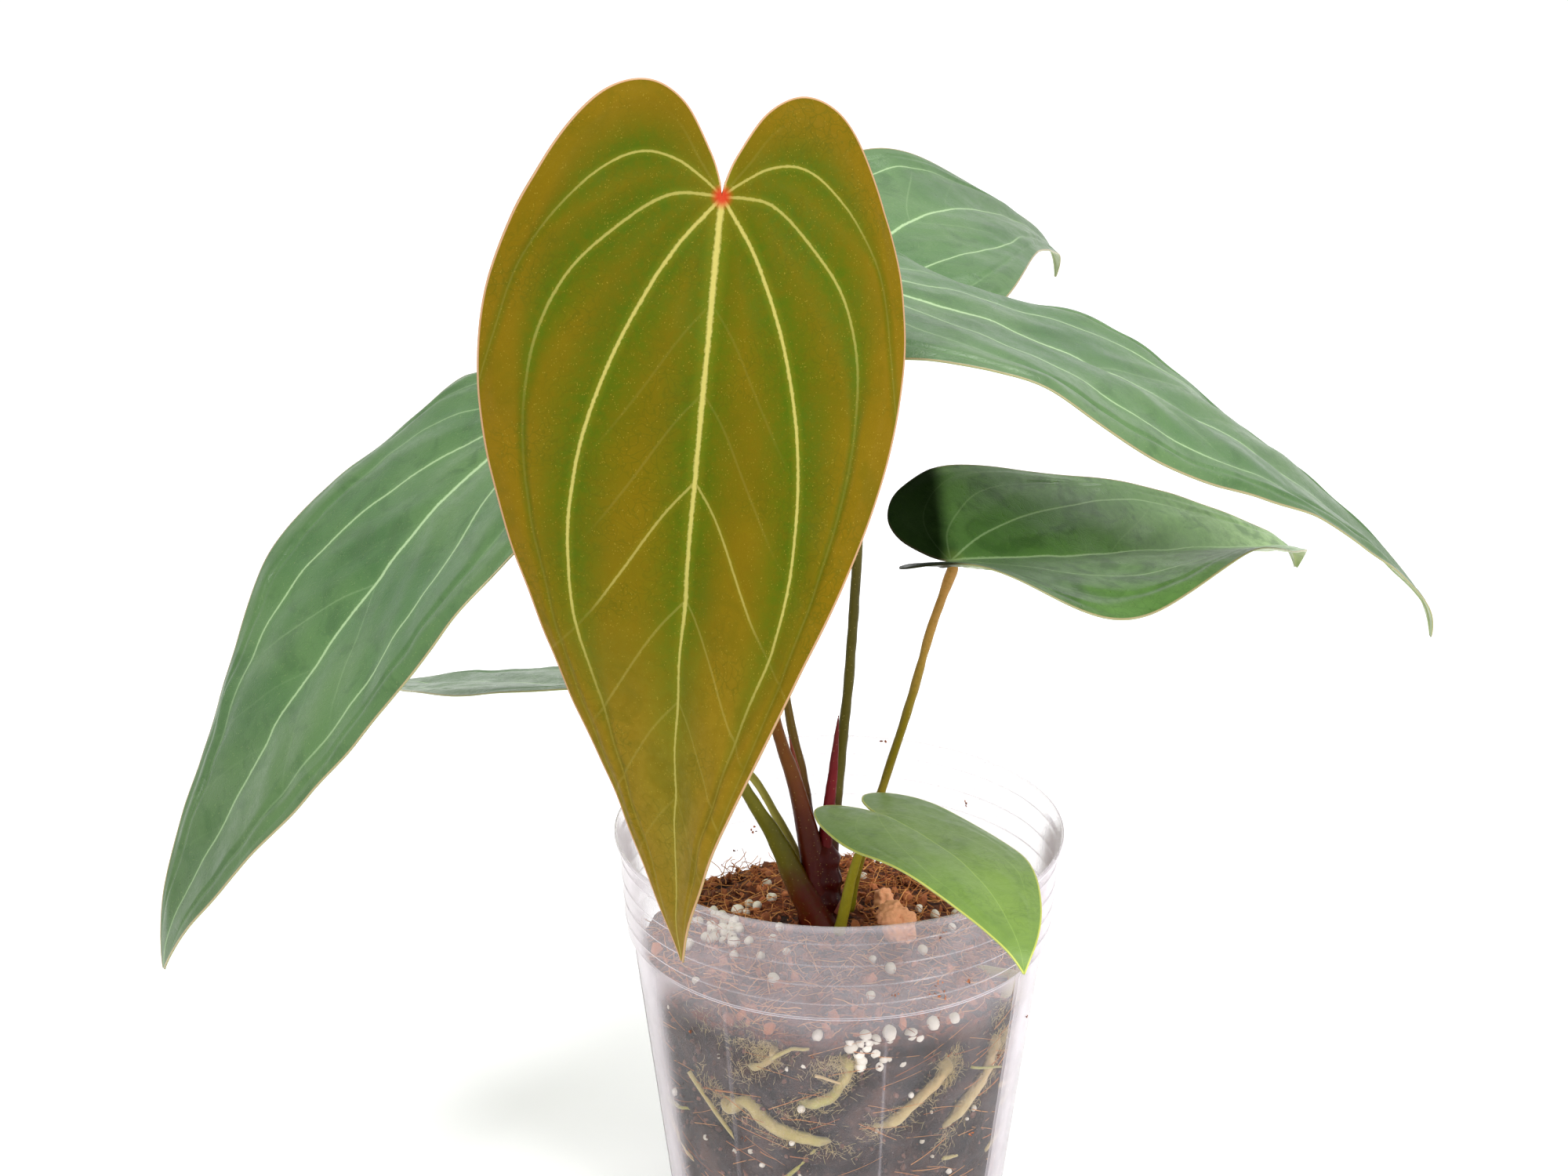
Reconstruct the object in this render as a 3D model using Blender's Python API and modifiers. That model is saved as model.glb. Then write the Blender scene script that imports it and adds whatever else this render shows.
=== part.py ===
"""Potted anthurium in a clear nursery pot.

Origin: centre of the pot's underside. +Z up, the large bronze leaf hangs towards -Y.
Lengths below are in millimetres and are turned into metres by MM.
"""
import math

import bmesh
import bpy
from mathutils import Vector

MM = 0.001
COLLECTION = "potted_anthurium"
GAP = 0.3                    # clearance between pieces that touch

# pot
POT_HEIGHT = 110.0
RIM_RADIUS = 60.0
RIM_DROP = 2.5
BAND_RADIUS = 58.8
STEP_HEIGHT = 82.0
STEP_RADIUS = 57.0
LOWER_RADIUS = 55.8
BASE_RADIUS = 45.5
WALL = 1.2
FLOOR = 1.6
POT_STEPS = 48
DRAIN_COUNT = 8
DRAIN_RADIUS = 3.5
DRAIN_CIRCLE = 30.0

# substrate
SOIL_EDGE_HEIGHT = 74.0
SOIL_HEAP = 9.5
SOIL_STEPS = 40

# crown
CROWN_CENTRE = (-5.0, -4.0)
CROWN_BOTTOM = 62.0
CROWN_TOP = 108.0
CROWN_PROFILE = ((3.0, 0.0), (4.6, 6.0), (5.2, 22.0), (5.6, 34.0), (4.6, 44.0), (2.2, 46.0))

# blades
BLADE_THICKNESS = 0.8
SPOKES = 22
RINGS = 3
# half outline of a blade of length 1: sideways, along the midrib from the stalk's joint to the tip
HALF_OUTLINE = (
    (0.000, -0.010), (0.018, -0.055), (0.060, -0.115), (0.115, -0.140), (0.175, -0.118),
    (0.225, -0.050), (0.262, 0.040), (0.280, 0.150), (0.272, 0.280), (0.242, 0.420),
    (0.192, 0.570), (0.132, 0.720), (0.070, 0.860), (0.028, 0.945), (0.000, 1.000),
)

# Each blade: joint is where its stalk meets it. heading and turn steer the midrib round +Z, pitch
# is its slope at the joint and the tip, droop how late it bends, roll its tilt about the midrib.
# width, lift, cup and ruffle are (left, right) or (joint, tip) pairs; a ruffle is (height, waves, phase).
BLADES = {
    "blade_front": dict(
        joint=(-29, -59, 296), heading=-106, turn=-35, pitch=(-72, -94), droop=1.15, tip_curl=0,
        roll=(37, -14), length=188, width=(0.87, 1.0), lobe=0.93, lift=(6, 9),
        cup_left=(43, 34), cup_right=(33, 36), ruffle_left=(0.5, 1.49, 150), ruffle_right=(-1, 1.38, 285)),
    "blade_left": dict(
        joint=(-75, 8, 221), heading=213, turn=-9, pitch=(0, -63), droop=0.31, tip_curl=8,
        roll=(-4, 7), length=177, width=(1.03, 1.04), lobe=1.0, lift=(5, 6),
        cup_left=(20, 37), cup_right=(19, 36), ruffle_left=(3, 1.14, 340), ruffle_right=(-3, 1.72, 0)),
    "blade_back_left": dict(
        joint=(-49, 28, 139), heading=144, turn=-18, pitch=(-14, -19), droop=1.18, tip_curl=5,
        roll=(-15, -6), length=132, width=(1.0, 1.0), lobe=1.0, lift=(3, 7),
        cup_left=(20, 20), cup_right=(20, 20), ruffle_left=(-0.5, 1.62, 245), ruffle_right=(-0.5, 1.6, 85)),
    "blade_back_right": dict(
        joint=(0, 59, 239), heading=69, turn=-25, pitch=(20, -41), droop=1.13, tip_curl=23,
        roll=(-12, -29), length=142, width=(1.0, 1.0), lobe=1.0, lift=(6, 4),
        cup_left=(29, 35), cup_right=(31, 34), ruffle_left=(-4.5, 1.78, 260), ruffle_right=(0, 1.59, 140)),
    "blade_right": dict(
        joint=(2, -2, 260), heading=-4, turn=6, pitch=(-13, -49), droop=1.06, tip_curl=12,
        roll=(2, 1), length=184, width=(1.01, 1.03), lobe=1.0, lift=(5, 5),
        cup_left=(61, 42), cup_right=(65, 44), ruffle_left=(2.5, 2.12, 125), ruffle_right=(4.5, 1.64, 325)),
    "blade_mid_right": dict(
        joint=(28, -7, 188), heading=10, turn=47, pitch=(-2, -18), droop=1.16, tip_curl=23,
        roll=(7, 5), length=128, width=(1.02, 1.04), lobe=0.86, lift=(35, 5),
        cup_left=(33, 36), cup_right=(31, 33), ruffle_left=(1.5, 1.31, 120), ruffle_right=(6.5, 1.52, 130)),
    "blade_small": dict(
        joint=(9, -27, 126), heading=-45, turn=-40, pitch=(2, -14), droop=1.16, tip_curl=11,
        roll=(10, 8), length=81, width=(0.98, 1.02), lobe=1.0, lift=(3, 4),
        cup_left=(32, 35), cup_right=(40, 37), ruffle_left=(-1, 1.61, 320), ruffle_right=(0.5, 1.61, 165)),
}

# Each stalk: its blade, its radius at the crown and at the blade, and its course up from the crown.
PETIOLES = {
    "petiole_1": ("blade_front", 2.0, 1.5, (
        (-8.5, -6.5, 110), (-12, -7, 126), (-17, -9, 144), (-24, -14, 180), (-30, -22, 225),
        (-33, -34, 265), (-32, -48, 287))),
    "petiole_2": ("blade_left", 3.2, 1.4, (
        (-14.5, -8.5, 98), (-17, -10, 110), (-26, -14, 129), (-40, -15, 158), (-58, -8, 190),
        (-71, 2, 210))),
    "petiole_3": ("blade_back_left", 1.3, 1.1, (
        (-13, 1.5, 103), (-17, 2, 112), (-23, 4, 122), (-34, 14, 130), (-44, 23, 134))),
    "petiole_4": ("blade_back_right", 1.3, 1.2, (
        (-8.5, 1.2, 110), (-10, 1.8, 124), (-14, 6, 145), (-15, 16, 175), (-10, 36, 210), (-3, 53, 231))),
    "petiole_5": ("blade_right", 1.6, 1.4, (
        (-2, -1, 110), (-1, 0, 121), (2, 4, 146), (4, 6, 177), (5, 4, 215), (3, -1, 248))),
    "petiole_6": ("blade_mid_right", 1.6, 1.2, (
        (4.5, -2, 96), (7, -2, 106), (14, -4, 132), (19, -6, 151), (23, -7, 168), (27, -7, 181))),
    "petiole_7": ("blade_small", 1.6, 1.2, (
        (0.5, -12.5, 87), (3, -16, 102), (5.5, -20.5, 113), (8, -25, 120.5))),
}

# Each scale: its thickest radius and its course from the crown to its tip.
CATAPHYLLS = {
    "cataphyll_1": (1.1, ((-8.8, -2.6, 111), (-11, -2.8, 124), (-13.5, -3, 137))),
    "cataphyll_2": (1.1, ((-3.6, -5.4, 111), (-2, -4.6, 128), (-0.5, -3.2, 143))),
    "cataphyll_3": (1.0, ((2.6, -7.8, 90), (3.2, -8.6, 95), (3.0, -8.8, 101))),
}

# Each root: its radius and its course from the crown out to the wall and along it. A wall point is
# (angle from the front, height), and the root lies just inside the wall there.
ROOTS = {
    "root_1": (1.9, (-8.5, -11, 66), ((2, 66), (0, 60), (-4, 55), (-12, 52), (-18, 51))),
    "root_2": (2.4, (-13, -7, 64), ((-38, 47), (-30, 50), (-22, 44), (-8, 41), (4, 40))),
    "root_3": (2.0, (3, -6.5, 66), ((34, 60), (28, 55), (20, 49), (12, 45), (5, 47))),
    "root_4": (1.8, (3, 0, 68), ((62, 78), (56, 74), (52, 68))),
    "root_5": (1.5, (-11, 1.5, 73), ((-20, 68), (-26, 62), (-34, 59))),
    "root_6": (2.1, (2, 2, 63), ((56, 60), (50, 50), (40, 43), (32, 34))),
    "root_7": (1.9, (-4, 4, 64), ((176, 58), (168, 48), (178, 38), (190, 32))),
}

# Each loose grain: radius and place on the mix.
PERLITE = {
    "perlite_1": (1.9, (-34, -4)),
    "perlite_2": (1.6, (-30.5, -7.5)),
    "perlite_3": (1.8, (-28, -2)),
    "perlite_4": (1.5, (-24, -13)),
    "perlite_5": (1.6, (-22, 6)),
    "perlite_6": (1.4, (-14, -20)),
    "perlite_7": (1.6, (22, -18)),
    "perlite_8": (1.5, (26, 2)),
}
PUMICE = {
    "pumice_large": ((6.5, 4.6, 4.2), (15, -14), 20),
    "pumice_small": ((4.2, 3.0, 2.6), (15, 4), -15),
}

COLOURS = {
    "clear_plastic": ((0.86, 0.83, 0.84, 1.0), 0.22),
    "substrate": ((0.10, 0.04, 0.02, 1.0), 0.95),
    "crown": ((0.09, 0.01, 0.01, 1.0), 0.5),
    "petiole": ((0.16, 0.14, 0.03, 1.0), 0.45),
    "blade_bronze": ((0.17, 0.15, 0.01, 1.0), 0.6),
    "blade_green": ((0.12, 0.22, 0.07, 1.0), 0.5),
    "cataphyll": ((0.22, 0.08, 0.03, 1.0), 0.7),
    "root": ((0.42, 0.35, 0.16, 1.0), 0.6),
    "perlite": ((0.80, 0.74, 0.66, 1.0), 0.9),
    "pumice": ((0.72, 0.40, 0.28, 1.0), 0.95),
}


def make_material(name):
    colour, roughness = COLOURS[name]
    material = bpy.data.materials.new(name)
    material.use_nodes = True
    shader = material.node_tree.nodes["Principled BSDF"]
    shader.inputs["Base Color"].default_value = colour
    shader.inputs["Roughness"].default_value = roughness
    shader.inputs["Metallic"].default_value = 0.0
    return material


def add_mesh_object(name, mesh, collection, material=None):
    obj = bpy.data.objects.new(name, mesh)
    collection.objects.link(obj)
    if material:
        mesh.materials.append(material)
    return obj


def add_screw(name, profile, steps, collection, material=None):
    """Turn a profile of (radius, height) points, run from the top down the outside."""
    mesh = bpy.data.meshes.new(name)
    points = [(radius * MM, 0.0, height * MM) for radius, height in profile]
    mesh.from_pydata(points, [(i, i + 1) for i in range(len(points) - 1)], [])
    obj = add_mesh_object(name, mesh, collection, material)
    screw = obj.modifiers.new("turn", "SCREW")
    screw.axis = "Z"
    screw.steps = steps
    screw.render_steps = steps
    screw.use_merge_vertices = True
    screw.merge_threshold = 0.00005
    screw.use_smooth_shade = True
    return obj


def smooth_path(points, per_span):
    """Points on a smooth curve through the given points."""
    padded = [points[0] * 2 - points[1]] + list(points) + [points[-1] * 2 - points[-2]]
    path = []
    for before, start, end, after in zip(padded, padded[1:], padded[2:], padded[3:]):
        for step in range(per_span):
            t = step / per_span
            path.append(0.5 * (2 * start + (end - before) * t
                               + (2 * before - 5 * start + 4 * end - after) * t ** 2
                               + (3 * start - before - 3 * end + after) * t ** 3))
    path.append(points[-1])
    return path


def add_tube(name, path, radii, resolution, collection, material=None):
    """A closed tube along a path in millimetres, as a welded mesh."""
    curve = bpy.data.curves.new(name + "_curve", "CURVE")
    curve.dimensions = "3D"
    curve.bevel_depth = MM
    curve.bevel_resolution = resolution
    curve.use_fill_caps = True
    spline = curve.splines.new("POLY")
    spline.points.add(len(path) - 1)
    for point, place, radius in zip(spline.points, path, radii):
        point.co = (*(place * MM), 1.0)
        point.radius = radius
    guide = bpy.data.objects.new(name + "_guide", curve)
    collection.objects.link(guide)
    bpy.context.view_layer.update()
    evaluated = guide.evaluated_get(bpy.context.evaluated_depsgraph_get())
    mesh = bpy.data.meshes.new_from_object(evaluated)
    bpy.data.objects.remove(guide)
    shape = bmesh.new()
    shape.from_mesh(mesh)
    bmesh.ops.remove_doubles(shape, verts=shape.verts, dist=0.00001)
    shape.to_mesh(mesh)
    shape.free()
    mesh.materials.clear()
    mesh.shade_smooth()
    return add_mesh_object(name, mesh, collection, material)


def subtract(obj, cutter):
    cutter.hide_render = True
    cutter.display_type = "WIRE"
    cut = obj.modifiers.new("cut_" + cutter.name, "BOOLEAN")
    cut.operation = "DIFFERENCE"
    cut.solver = "EXACT"
    cut.object = cutter


def wall_inside_radius(height):
    """Inner radius of the pot at a height."""
    if height > STEP_HEIGHT:
        share = (height - STEP_HEIGHT) / (POT_HEIGHT - STEP_HEIGHT)
        return STEP_RADIUS + (BAND_RADIUS - STEP_RADIUS) * share - WALL
    share = height / STEP_HEIGHT
    return BASE_RADIUS + (LOWER_RADIUS - BASE_RADIUS) * share - WALL


def soil_height(x, y):
    """Height of the mix's top face, heaped towards the crown."""
    distance = min(1.0, math.hypot(x, y) / wall_inside_radius(SOIL_EDGE_HEIGHT))
    return SOIL_EDGE_HEIGHT + SOIL_HEAP * (1 - distance ** 2)


def make_pot(parts, cutters, material):
    inside = (
        (0.0, FLOOR),
        (BASE_RADIUS - WALL, FLOOR),
        (LOWER_RADIUS - WALL, STEP_HEIGHT - 1.2),
        (STEP_RADIUS - WALL, STEP_HEIGHT + 0.8),
        (BAND_RADIUS - WALL, POT_HEIGHT),
    )
    outside = (
        (RIM_RADIUS, POT_HEIGHT),
        (RIM_RADIUS, POT_HEIGHT - RIM_DROP),
        (BAND_RADIUS, POT_HEIGHT - RIM_DROP - 0.8),
        (STEP_RADIUS, STEP_HEIGHT + 0.8),
        (LOWER_RADIUS, STEP_HEIGHT - 1.2),
        (BASE_RADIUS, 0.0),
        (0.0, 0.0),
    )
    pot = add_screw("pot", inside + outside, POT_STEPS, parts, material)
    for index in range(DRAIN_COUNT):
        angle = 2 * math.pi * index / DRAIN_COUNT
        bpy.ops.mesh.primitive_cylinder_add(
            vertices=12, radius=DRAIN_RADIUS * MM, depth=3 * FLOOR * MM,
            location=(DRAIN_CIRCLE * MM * math.cos(angle), DRAIN_CIRCLE * MM * math.sin(angle), FLOOR * MM / 2))
        drain = bpy.context.object
        drain.name = f"drain_hole_{index + 1}"
        for holder in drain.users_collection:
            holder.objects.unlink(drain)
        cutters.objects.link(drain)
        subtract(pot, drain)


def make_substrate(parts, material):
    outer = wall_inside_radius(SOIL_EDGE_HEIGHT) - GAP
    rings = [outer * share for share in (0.0, 0.2, 0.4, 0.6, 0.8, 1.0)]
    profile = [(radius, soil_height(radius, 0.0)) for radius in rings]
    profile += [(BASE_RADIUS - WALL - GAP, FLOOR + GAP), (0.0, FLOOR + GAP)]
    return add_screw("substrate", profile, SOIL_STEPS, parts, material)


def crown_profile(grow):
    points = [(radius + grow, CROWN_BOTTOM + height) for radius, height in CROWN_PROFILE]
    top = (0.0, points[-1][1] + grow)
    bottom = (0.0, points[0][1] - grow)
    ends = [(points[-1][0], top[1]), *reversed(points[:-1])]
    return [top, *ends[:-1], (ends[-1][0], bottom[1]), bottom]


def make_crown(parts, cutters, substrate, material):
    crown = add_screw("crown", crown_profile(0.0), 16, parts, material)
    pocket = add_screw("crown_pocket", crown_profile(GAP + 0.1), 16, cutters)
    for obj in (crown, pocket):
        obj.location = (CROWN_CENTRE[0] * MM, CROWN_CENTRE[1] * MM, 0.0)
    subtract(substrate, pocket)


def root_path(radius, start, wall_points):
    path = [Vector(start)]
    for angle_deg, height in wall_points:
        angle = math.radians(angle_deg)
        reach = wall_inside_radius(height)
        path.append(Vector((reach * math.sin(angle), -reach * math.cos(angle), height)))
    path = smooth_path(path, 3)
    for point in path:
        reach = math.hypot(point.x, point.y)
        inward = min(1.0, (wall_inside_radius(point.z) - radius - 2 * GAP) / reach)
        point.x *= inward
        point.y *= inward
    return path


def make_roots(parts, cutters, substrate, material):
    """Roots in their own channels, which open at the crown and along the wall."""
    for name, (radius, start, wall_points) in ROOTS.items():
        path = root_path(radius, start, wall_points)
        count = len(path)
        taper = [radius * (1.0 - 0.35 * i / (count - 1)) for i in range(count)]
        add_tube(name, path, taper, 1, parts, material)
        first = path[0] + (path[0] - path[1]).normalized() * 0.5
        last = path[-1] + (path[-1] - path[-2]).normalized() * 0.5
        channel_path = [first] + path[1:-1] + [last]
        channel = add_tube(name + "_channel", channel_path, [r + 0.45 for r in taper], 1, cutters)
        subtract(substrate, channel)


def outline_points():
    points = [Vector(point) for point in HALF_OUTLINE]
    return smooth_path(points, 6)


class Blade:
    """The curved surface of one blade, as a function of (sideways, along) in blade lengths."""

    def __init__(self, design):
        self.design = design
        self.length = design["length"]
        self.steps = 60
        self.midrib = [Vector(design["joint"])]
        for step in range(self.steps):
            along = (step + 0.5) / self.steps
            self.midrib.append(self.midrib[-1] + self.direction(along) * self.length / self.steps)

    def direction(self, along):
        design = self.design
        share = min(max(along, 0.0), 1.0)
        pitch = design["pitch"][0] + (design["pitch"][1] - design["pitch"][0]) * share ** design["droop"]
        pitch -= 3 * design["tip_curl"] * max(0.0, (share - 0.88) / 0.12) ** 1.5
        heading = math.radians(design["heading"] + design["turn"] * max(along, -0.2))
        pitch = math.radians(pitch)
        return Vector((math.cos(pitch) * math.cos(heading), math.cos(pitch) * math.sin(heading),
                       math.sin(pitch)))

    def axes(self, along):
        """Sideways (to the right, seen from the joint) and upward directions at a midrib place."""
        design = self.design
        heading = math.radians(design["heading"] + design["turn"] * max(along, -0.2))
        side = Vector((math.sin(heading), -math.cos(heading), 0.0))
        up = side.cross(self.direction(along))
        share = min(max(along, 0.0), 1.0)
        roll = math.radians(design["roll"][0] + (design["roll"][1] - design["roll"][0]) * share)
        return (side * math.cos(roll) + up * math.sin(roll), up * math.cos(roll) - side * math.sin(roll))

    def midrib_point(self, along):
        if along < 0:
            return self.midrib[0] + self.direction(0.0) * along * self.length
        place = min(along, 1.0) * self.steps
        low = min(int(place), self.steps - 1)
        return self.midrib[low].lerp(self.midrib[low + 1], place - low)

    def point(self, sideways, along):
        design = self.design
        if along < 0:
            along *= design["lobe"]
        right = sideways > 0
        cup = design["cup_right" if right else "cup_left"]
        ruffle = design["ruffle_right" if right else "ruffle_left"]
        share = min(max(along, 0.0), 1.0)
        reach = abs(sideways) * design["width"][right]
        lift = math.radians(design["lift"][right])
        bend = -math.radians(cup[0] + (cup[1] - cup[0]) * share)
        across = (math.sin(lift + bend * reach) - math.sin(lift)) / bend
        rise = (math.cos(lift) - math.cos(lift + bend * reach)) / bend
        wave = math.sin(2 * math.pi * ruffle[1] * along + math.radians(ruffle[2])) * (reach / 0.25) ** 2
        side, up = self.axes(along)
        offset = side * math.copysign(across, sideways) * self.length
        return self.midrib_point(along) + offset + up * (rise * self.length + ruffle[0] * wave)


def blade_rows():
    """Rows of (sideways, along) from the midrib to the right margin, fanned round the lobe."""
    outline = outline_points()
    rows = []
    for row in range(SPOKES + 1):
        place = (0.012 + 0.979 * row / SPOKES) * (len(outline) - 1)
        low = int(place)
        margin = outline[low].lerp(outline[low + 1], place - low)
        start = Vector((0.0, 0.985 * (row / SPOKES) ** 1.6))
        rows.append([start.lerp(margin, ring / RINGS) for ring in range(RINGS + 1)])
    return rows


def make_blade(name, design, parts, material):
    blade = Blade(design)
    verts = []
    faces = []
    columns = 2 * RINGS + 1
    for row in blade_rows():
        places = [(-p.x, p.y) for p in reversed(row[1:])] + [(p.x, p.y) for p in row]
        verts += [blade.point(sideways, along) * MM for sideways, along in places]
    for row in range(SPOKES):
        for column in range(columns - 1):
            low = row * columns + column
            faces.append((low, low + 1, low + columns + 1, low + columns))
    mesh = bpy.data.meshes.new(name)
    mesh.from_pydata(verts, [], faces)
    mesh.shade_smooth()
    obj = add_mesh_object(name, mesh, parts, material)
    shell = obj.modifiers.new("thickness", "SOLIDIFY")
    shell.thickness = BLADE_THICKNESS * MM
    shell.offset = 0.0
    return blade


def make_petiole(name, blade, base_radius, top_radius, course, parts, material):
    """A stalk that ends just under its blade's joint."""
    under = blade.axes(0.0)[1] * (BLADE_THICKNESS / 2 + GAP + top_radius)
    end = Vector(blade.design["joint"]) - under
    path = smooth_path([Vector(point) for point in course] + [end], 3)
    count = len(path)
    radii = []
    for index in range(count):
        share = index / (count - 1)
        sheath = max(0.0, 1 - share / 0.3) ** 1.5
        radii.append(top_radius + (base_radius - top_radius) * sheath)
    add_tube(name, path, radii, 2, parts, material)


def make_cataphyll(name, radius, course, parts, material):
    path = smooth_path([Vector(point) for point in course], 3)
    count = len(path)
    radii = [radius * (0.15 + 0.85 * math.sin(math.pi * (0.5 + 0.5 * i / (count - 1)))) for i in range(count)]
    add_tube(name, path, radii, 1, parts, material)


def make_grain(name, size, place, turn, parts, material):
    """A lumpy grain that lies on the mix."""
    bpy.ops.mesh.primitive_ico_sphere_add(subdivisions=2, radius=MM)
    grain = bpy.context.object
    grain.name = name
    for holder in grain.users_collection:
        holder.objects.unlink(grain)
    parts.objects.link(grain)
    for index, vertex in enumerate(grain.data.vertices):
        lump = 1.0 - 0.09 * (1 + math.sin(index * 2.4))
        vertex.co = Vector((vertex.co.x * size[0], vertex.co.y * size[1], vertex.co.z * size[2])) * lump
    slope = 2 * SOIL_HEAP * math.hypot(*place) / wall_inside_radius(SOIL_EDGE_HEIGHT) ** 2
    rest = soil_height(*place) + size[2] + slope * max(size[:2]) * 0.5 + GAP
    grain.location = (place[0] * MM, place[1] * MM, rest * MM)
    grain.rotation_euler = (0.0, 0.0, math.radians(turn))
    grain.data.materials.append(material)
    grain.data.shade_smooth()


def main():
    for obj in list(bpy.data.objects):
        bpy.data.objects.remove(obj)
    parts = bpy.data.collections.new(COLLECTION)
    cutters = bpy.data.collections.new("cutters")
    bpy.context.scene.collection.children.link(parts)
    bpy.context.scene.collection.children.link(cutters)
    materials = {name: make_material(name) for name in COLOURS}

    make_pot(parts, cutters, materials["clear_plastic"])
    substrate = make_substrate(parts, materials["substrate"])
    make_crown(parts, cutters, substrate, materials["crown"])
    make_roots(parts, cutters, substrate, materials["root"])
    blades = {}
    for name, design in BLADES.items():
        finish = "blade_bronze" if name == "blade_front" else "blade_green"
        blades[name] = make_blade(name, design, parts, materials[finish])
    for name, (blade, base_radius, top_radius, course) in PETIOLES.items():
        make_petiole(name, blades[blade], base_radius, top_radius, course, parts, materials["petiole"])
    for name, (radius, course) in CATAPHYLLS.items():
        make_cataphyll(name, radius, course, parts, materials["cataphyll"])
    for index, (name, (radius, place)) in enumerate(PERLITE.items()):
        make_grain(name, (radius, radius * 0.9, radius * 0.85), place, 40 * index, parts, materials["perlite"])
    for name, (size, place, turn) in PUMICE.items():
        make_grain(name, size, place, turn, parts, materials["pumice"])


main()
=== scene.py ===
import math
import random

import bpy
import numpy as np
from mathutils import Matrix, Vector, noise


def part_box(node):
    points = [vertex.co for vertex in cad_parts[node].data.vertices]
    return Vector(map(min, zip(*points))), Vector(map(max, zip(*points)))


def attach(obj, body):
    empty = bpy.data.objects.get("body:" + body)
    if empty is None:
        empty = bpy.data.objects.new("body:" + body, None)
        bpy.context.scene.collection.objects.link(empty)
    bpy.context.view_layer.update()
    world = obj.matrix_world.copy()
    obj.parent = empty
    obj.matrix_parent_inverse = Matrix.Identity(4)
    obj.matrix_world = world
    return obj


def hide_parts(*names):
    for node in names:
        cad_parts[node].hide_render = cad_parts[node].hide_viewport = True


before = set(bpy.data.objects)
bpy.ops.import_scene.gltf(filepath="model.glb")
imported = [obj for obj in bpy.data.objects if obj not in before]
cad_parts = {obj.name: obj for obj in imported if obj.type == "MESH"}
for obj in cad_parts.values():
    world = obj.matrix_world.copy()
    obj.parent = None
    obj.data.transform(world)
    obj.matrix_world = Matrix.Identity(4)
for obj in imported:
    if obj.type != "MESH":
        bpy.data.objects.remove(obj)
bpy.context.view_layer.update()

mm = 0.001
fullTurn = 6.28
rng = random.Random(11)
print("frame loaded")


# small helpers

def deselectAll():
    bpy.ops.object.select_all(action="DESELECT")


def makeActive(obj):
    deselectAll()
    bpy.context.view_layer.objects.active = obj
    obj.select_set(True)


def applyModifiers(obj):
    makeActive(obj)
    for modifier in list(obj.modifiers):
        bpy.ops.object.modifier_apply(modifier=modifier.name)


def mergeByDistance(obj, distance=0.00002):
    makeActive(obj)
    bpy.ops.object.mode_set(mode="EDIT")
    bpy.ops.mesh.select_all(action="SELECT")
    bpy.ops.mesh.remove_doubles(threshold=distance)
    bpy.ops.mesh.normals_make_consistent(inside=False)
    bpy.ops.object.mode_set(mode="OBJECT")


def vertexPlaces(obj):
    places = np.empty(len(obj.data.vertices) * 3)
    obj.data.vertices.foreach_get("co", places)
    return places.reshape(-1, 3)


def setVertexPlaces(obj, places):
    obj.data.vertices.foreach_set("co", np.ascontiguousarray(places, dtype=float).ravel())
    obj.data.update()


def setFloatAttribute(obj, name, values):
    layer = obj.data.attributes.get(name) or obj.data.attributes.new(name, "FLOAT", "POINT")
    layer.data.foreach_set("value", np.ascontiguousarray(values, dtype=float))


def setVectorAttribute(obj, name, values):
    layer = obj.data.attributes.get(name) or obj.data.attributes.new(name, "FLOAT_VECTOR", "POINT")
    layer.data.foreach_set("vector", np.ascontiguousarray(values, dtype=float).ravel())


def addGrid(name, columns, rows):
    # a flat sheet of columns x rows faces; the places in it run from 0 to 1 both ways
    deselectAll()
    bpy.ops.mesh.primitive_grid_add(x_subdivisions=columns, y_subdivisions=rows, size=1, location=(0, 0, 0))
    sheet = bpy.context.object
    sheet.name = name
    places = vertexPlaces(sheet)
    return sheet, places[:, 0] + 0.5, places[:, 1] + 0.5


def smoothCurve(points, perSpan):
    points = np.array(points, dtype=float)
    padded = np.vstack([2 * points[0] - points[1], points, 2 * points[-1] - points[-2]])
    steps = np.arange(perSpan)[:, None] / perSpan
    spans = []
    for before, start, end, after in zip(padded, padded[1:], padded[2:], padded[3:]):
        spans.append(0.5 * (2 * start + (end - before) * steps
                            + (2 * before - 5 * start + 4 * end - after) * steps ** 2
                            + (3 * start - before - 3 * end + after) * steps ** 3))
    return np.vstack(spans + [points[-1:]])


def evenCurve(points, count):
    # the same curve with evenly spaced points
    lengths = np.concatenate([[0], np.cumsum(np.linalg.norm(np.diff(points, axis=0), axis=1))])
    wanted = np.linspace(0, lengths[-1], count)
    return np.stack([np.interp(wanted, lengths, points[:, axis]) for axis in range(points.shape[1])], -1)


def smoothShade(obj):
    makeActive(obj)
    bpy.ops.object.shade_smooth()


def thicken(obj, thickness):
    # gives a sheet a thickness in mm on its back
    shell = obj.modifiers.new("thickness", "SOLIDIFY")
    shell.thickness = thickness * mm
    shell.offset = -1
    applyModifiers(obj)


def atBearing(bearing, reach, height):
    # a place in mm round the axis: bearing 0 faces the front
    return reach * math.sin(bearing), -reach * math.cos(bearing), height


def boxInMm(node):
    # middle and half size of a CAD node's box
    low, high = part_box(node)
    middle = [(a + b) / 2 / mm for a, b in zip(low, high)]
    return middle, [(b - a) / 2 / mm for a, b in zip(low, high)]


def between(ends, share):
    return ends[0] + (ends[1] - ends[0]) * share


def smoothStep(low, high, values):
    share = np.clip((values - low) / (high - low), 0, 1)
    return share * share * (3 - 2 * share)


def noiseAt(places, size, seed=0.0):
    shift = Vector((seed, seed * 1.7, -seed))
    return np.array([noise.noise(Vector(place) / size + shift) for place in places])


# node helpers

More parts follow.
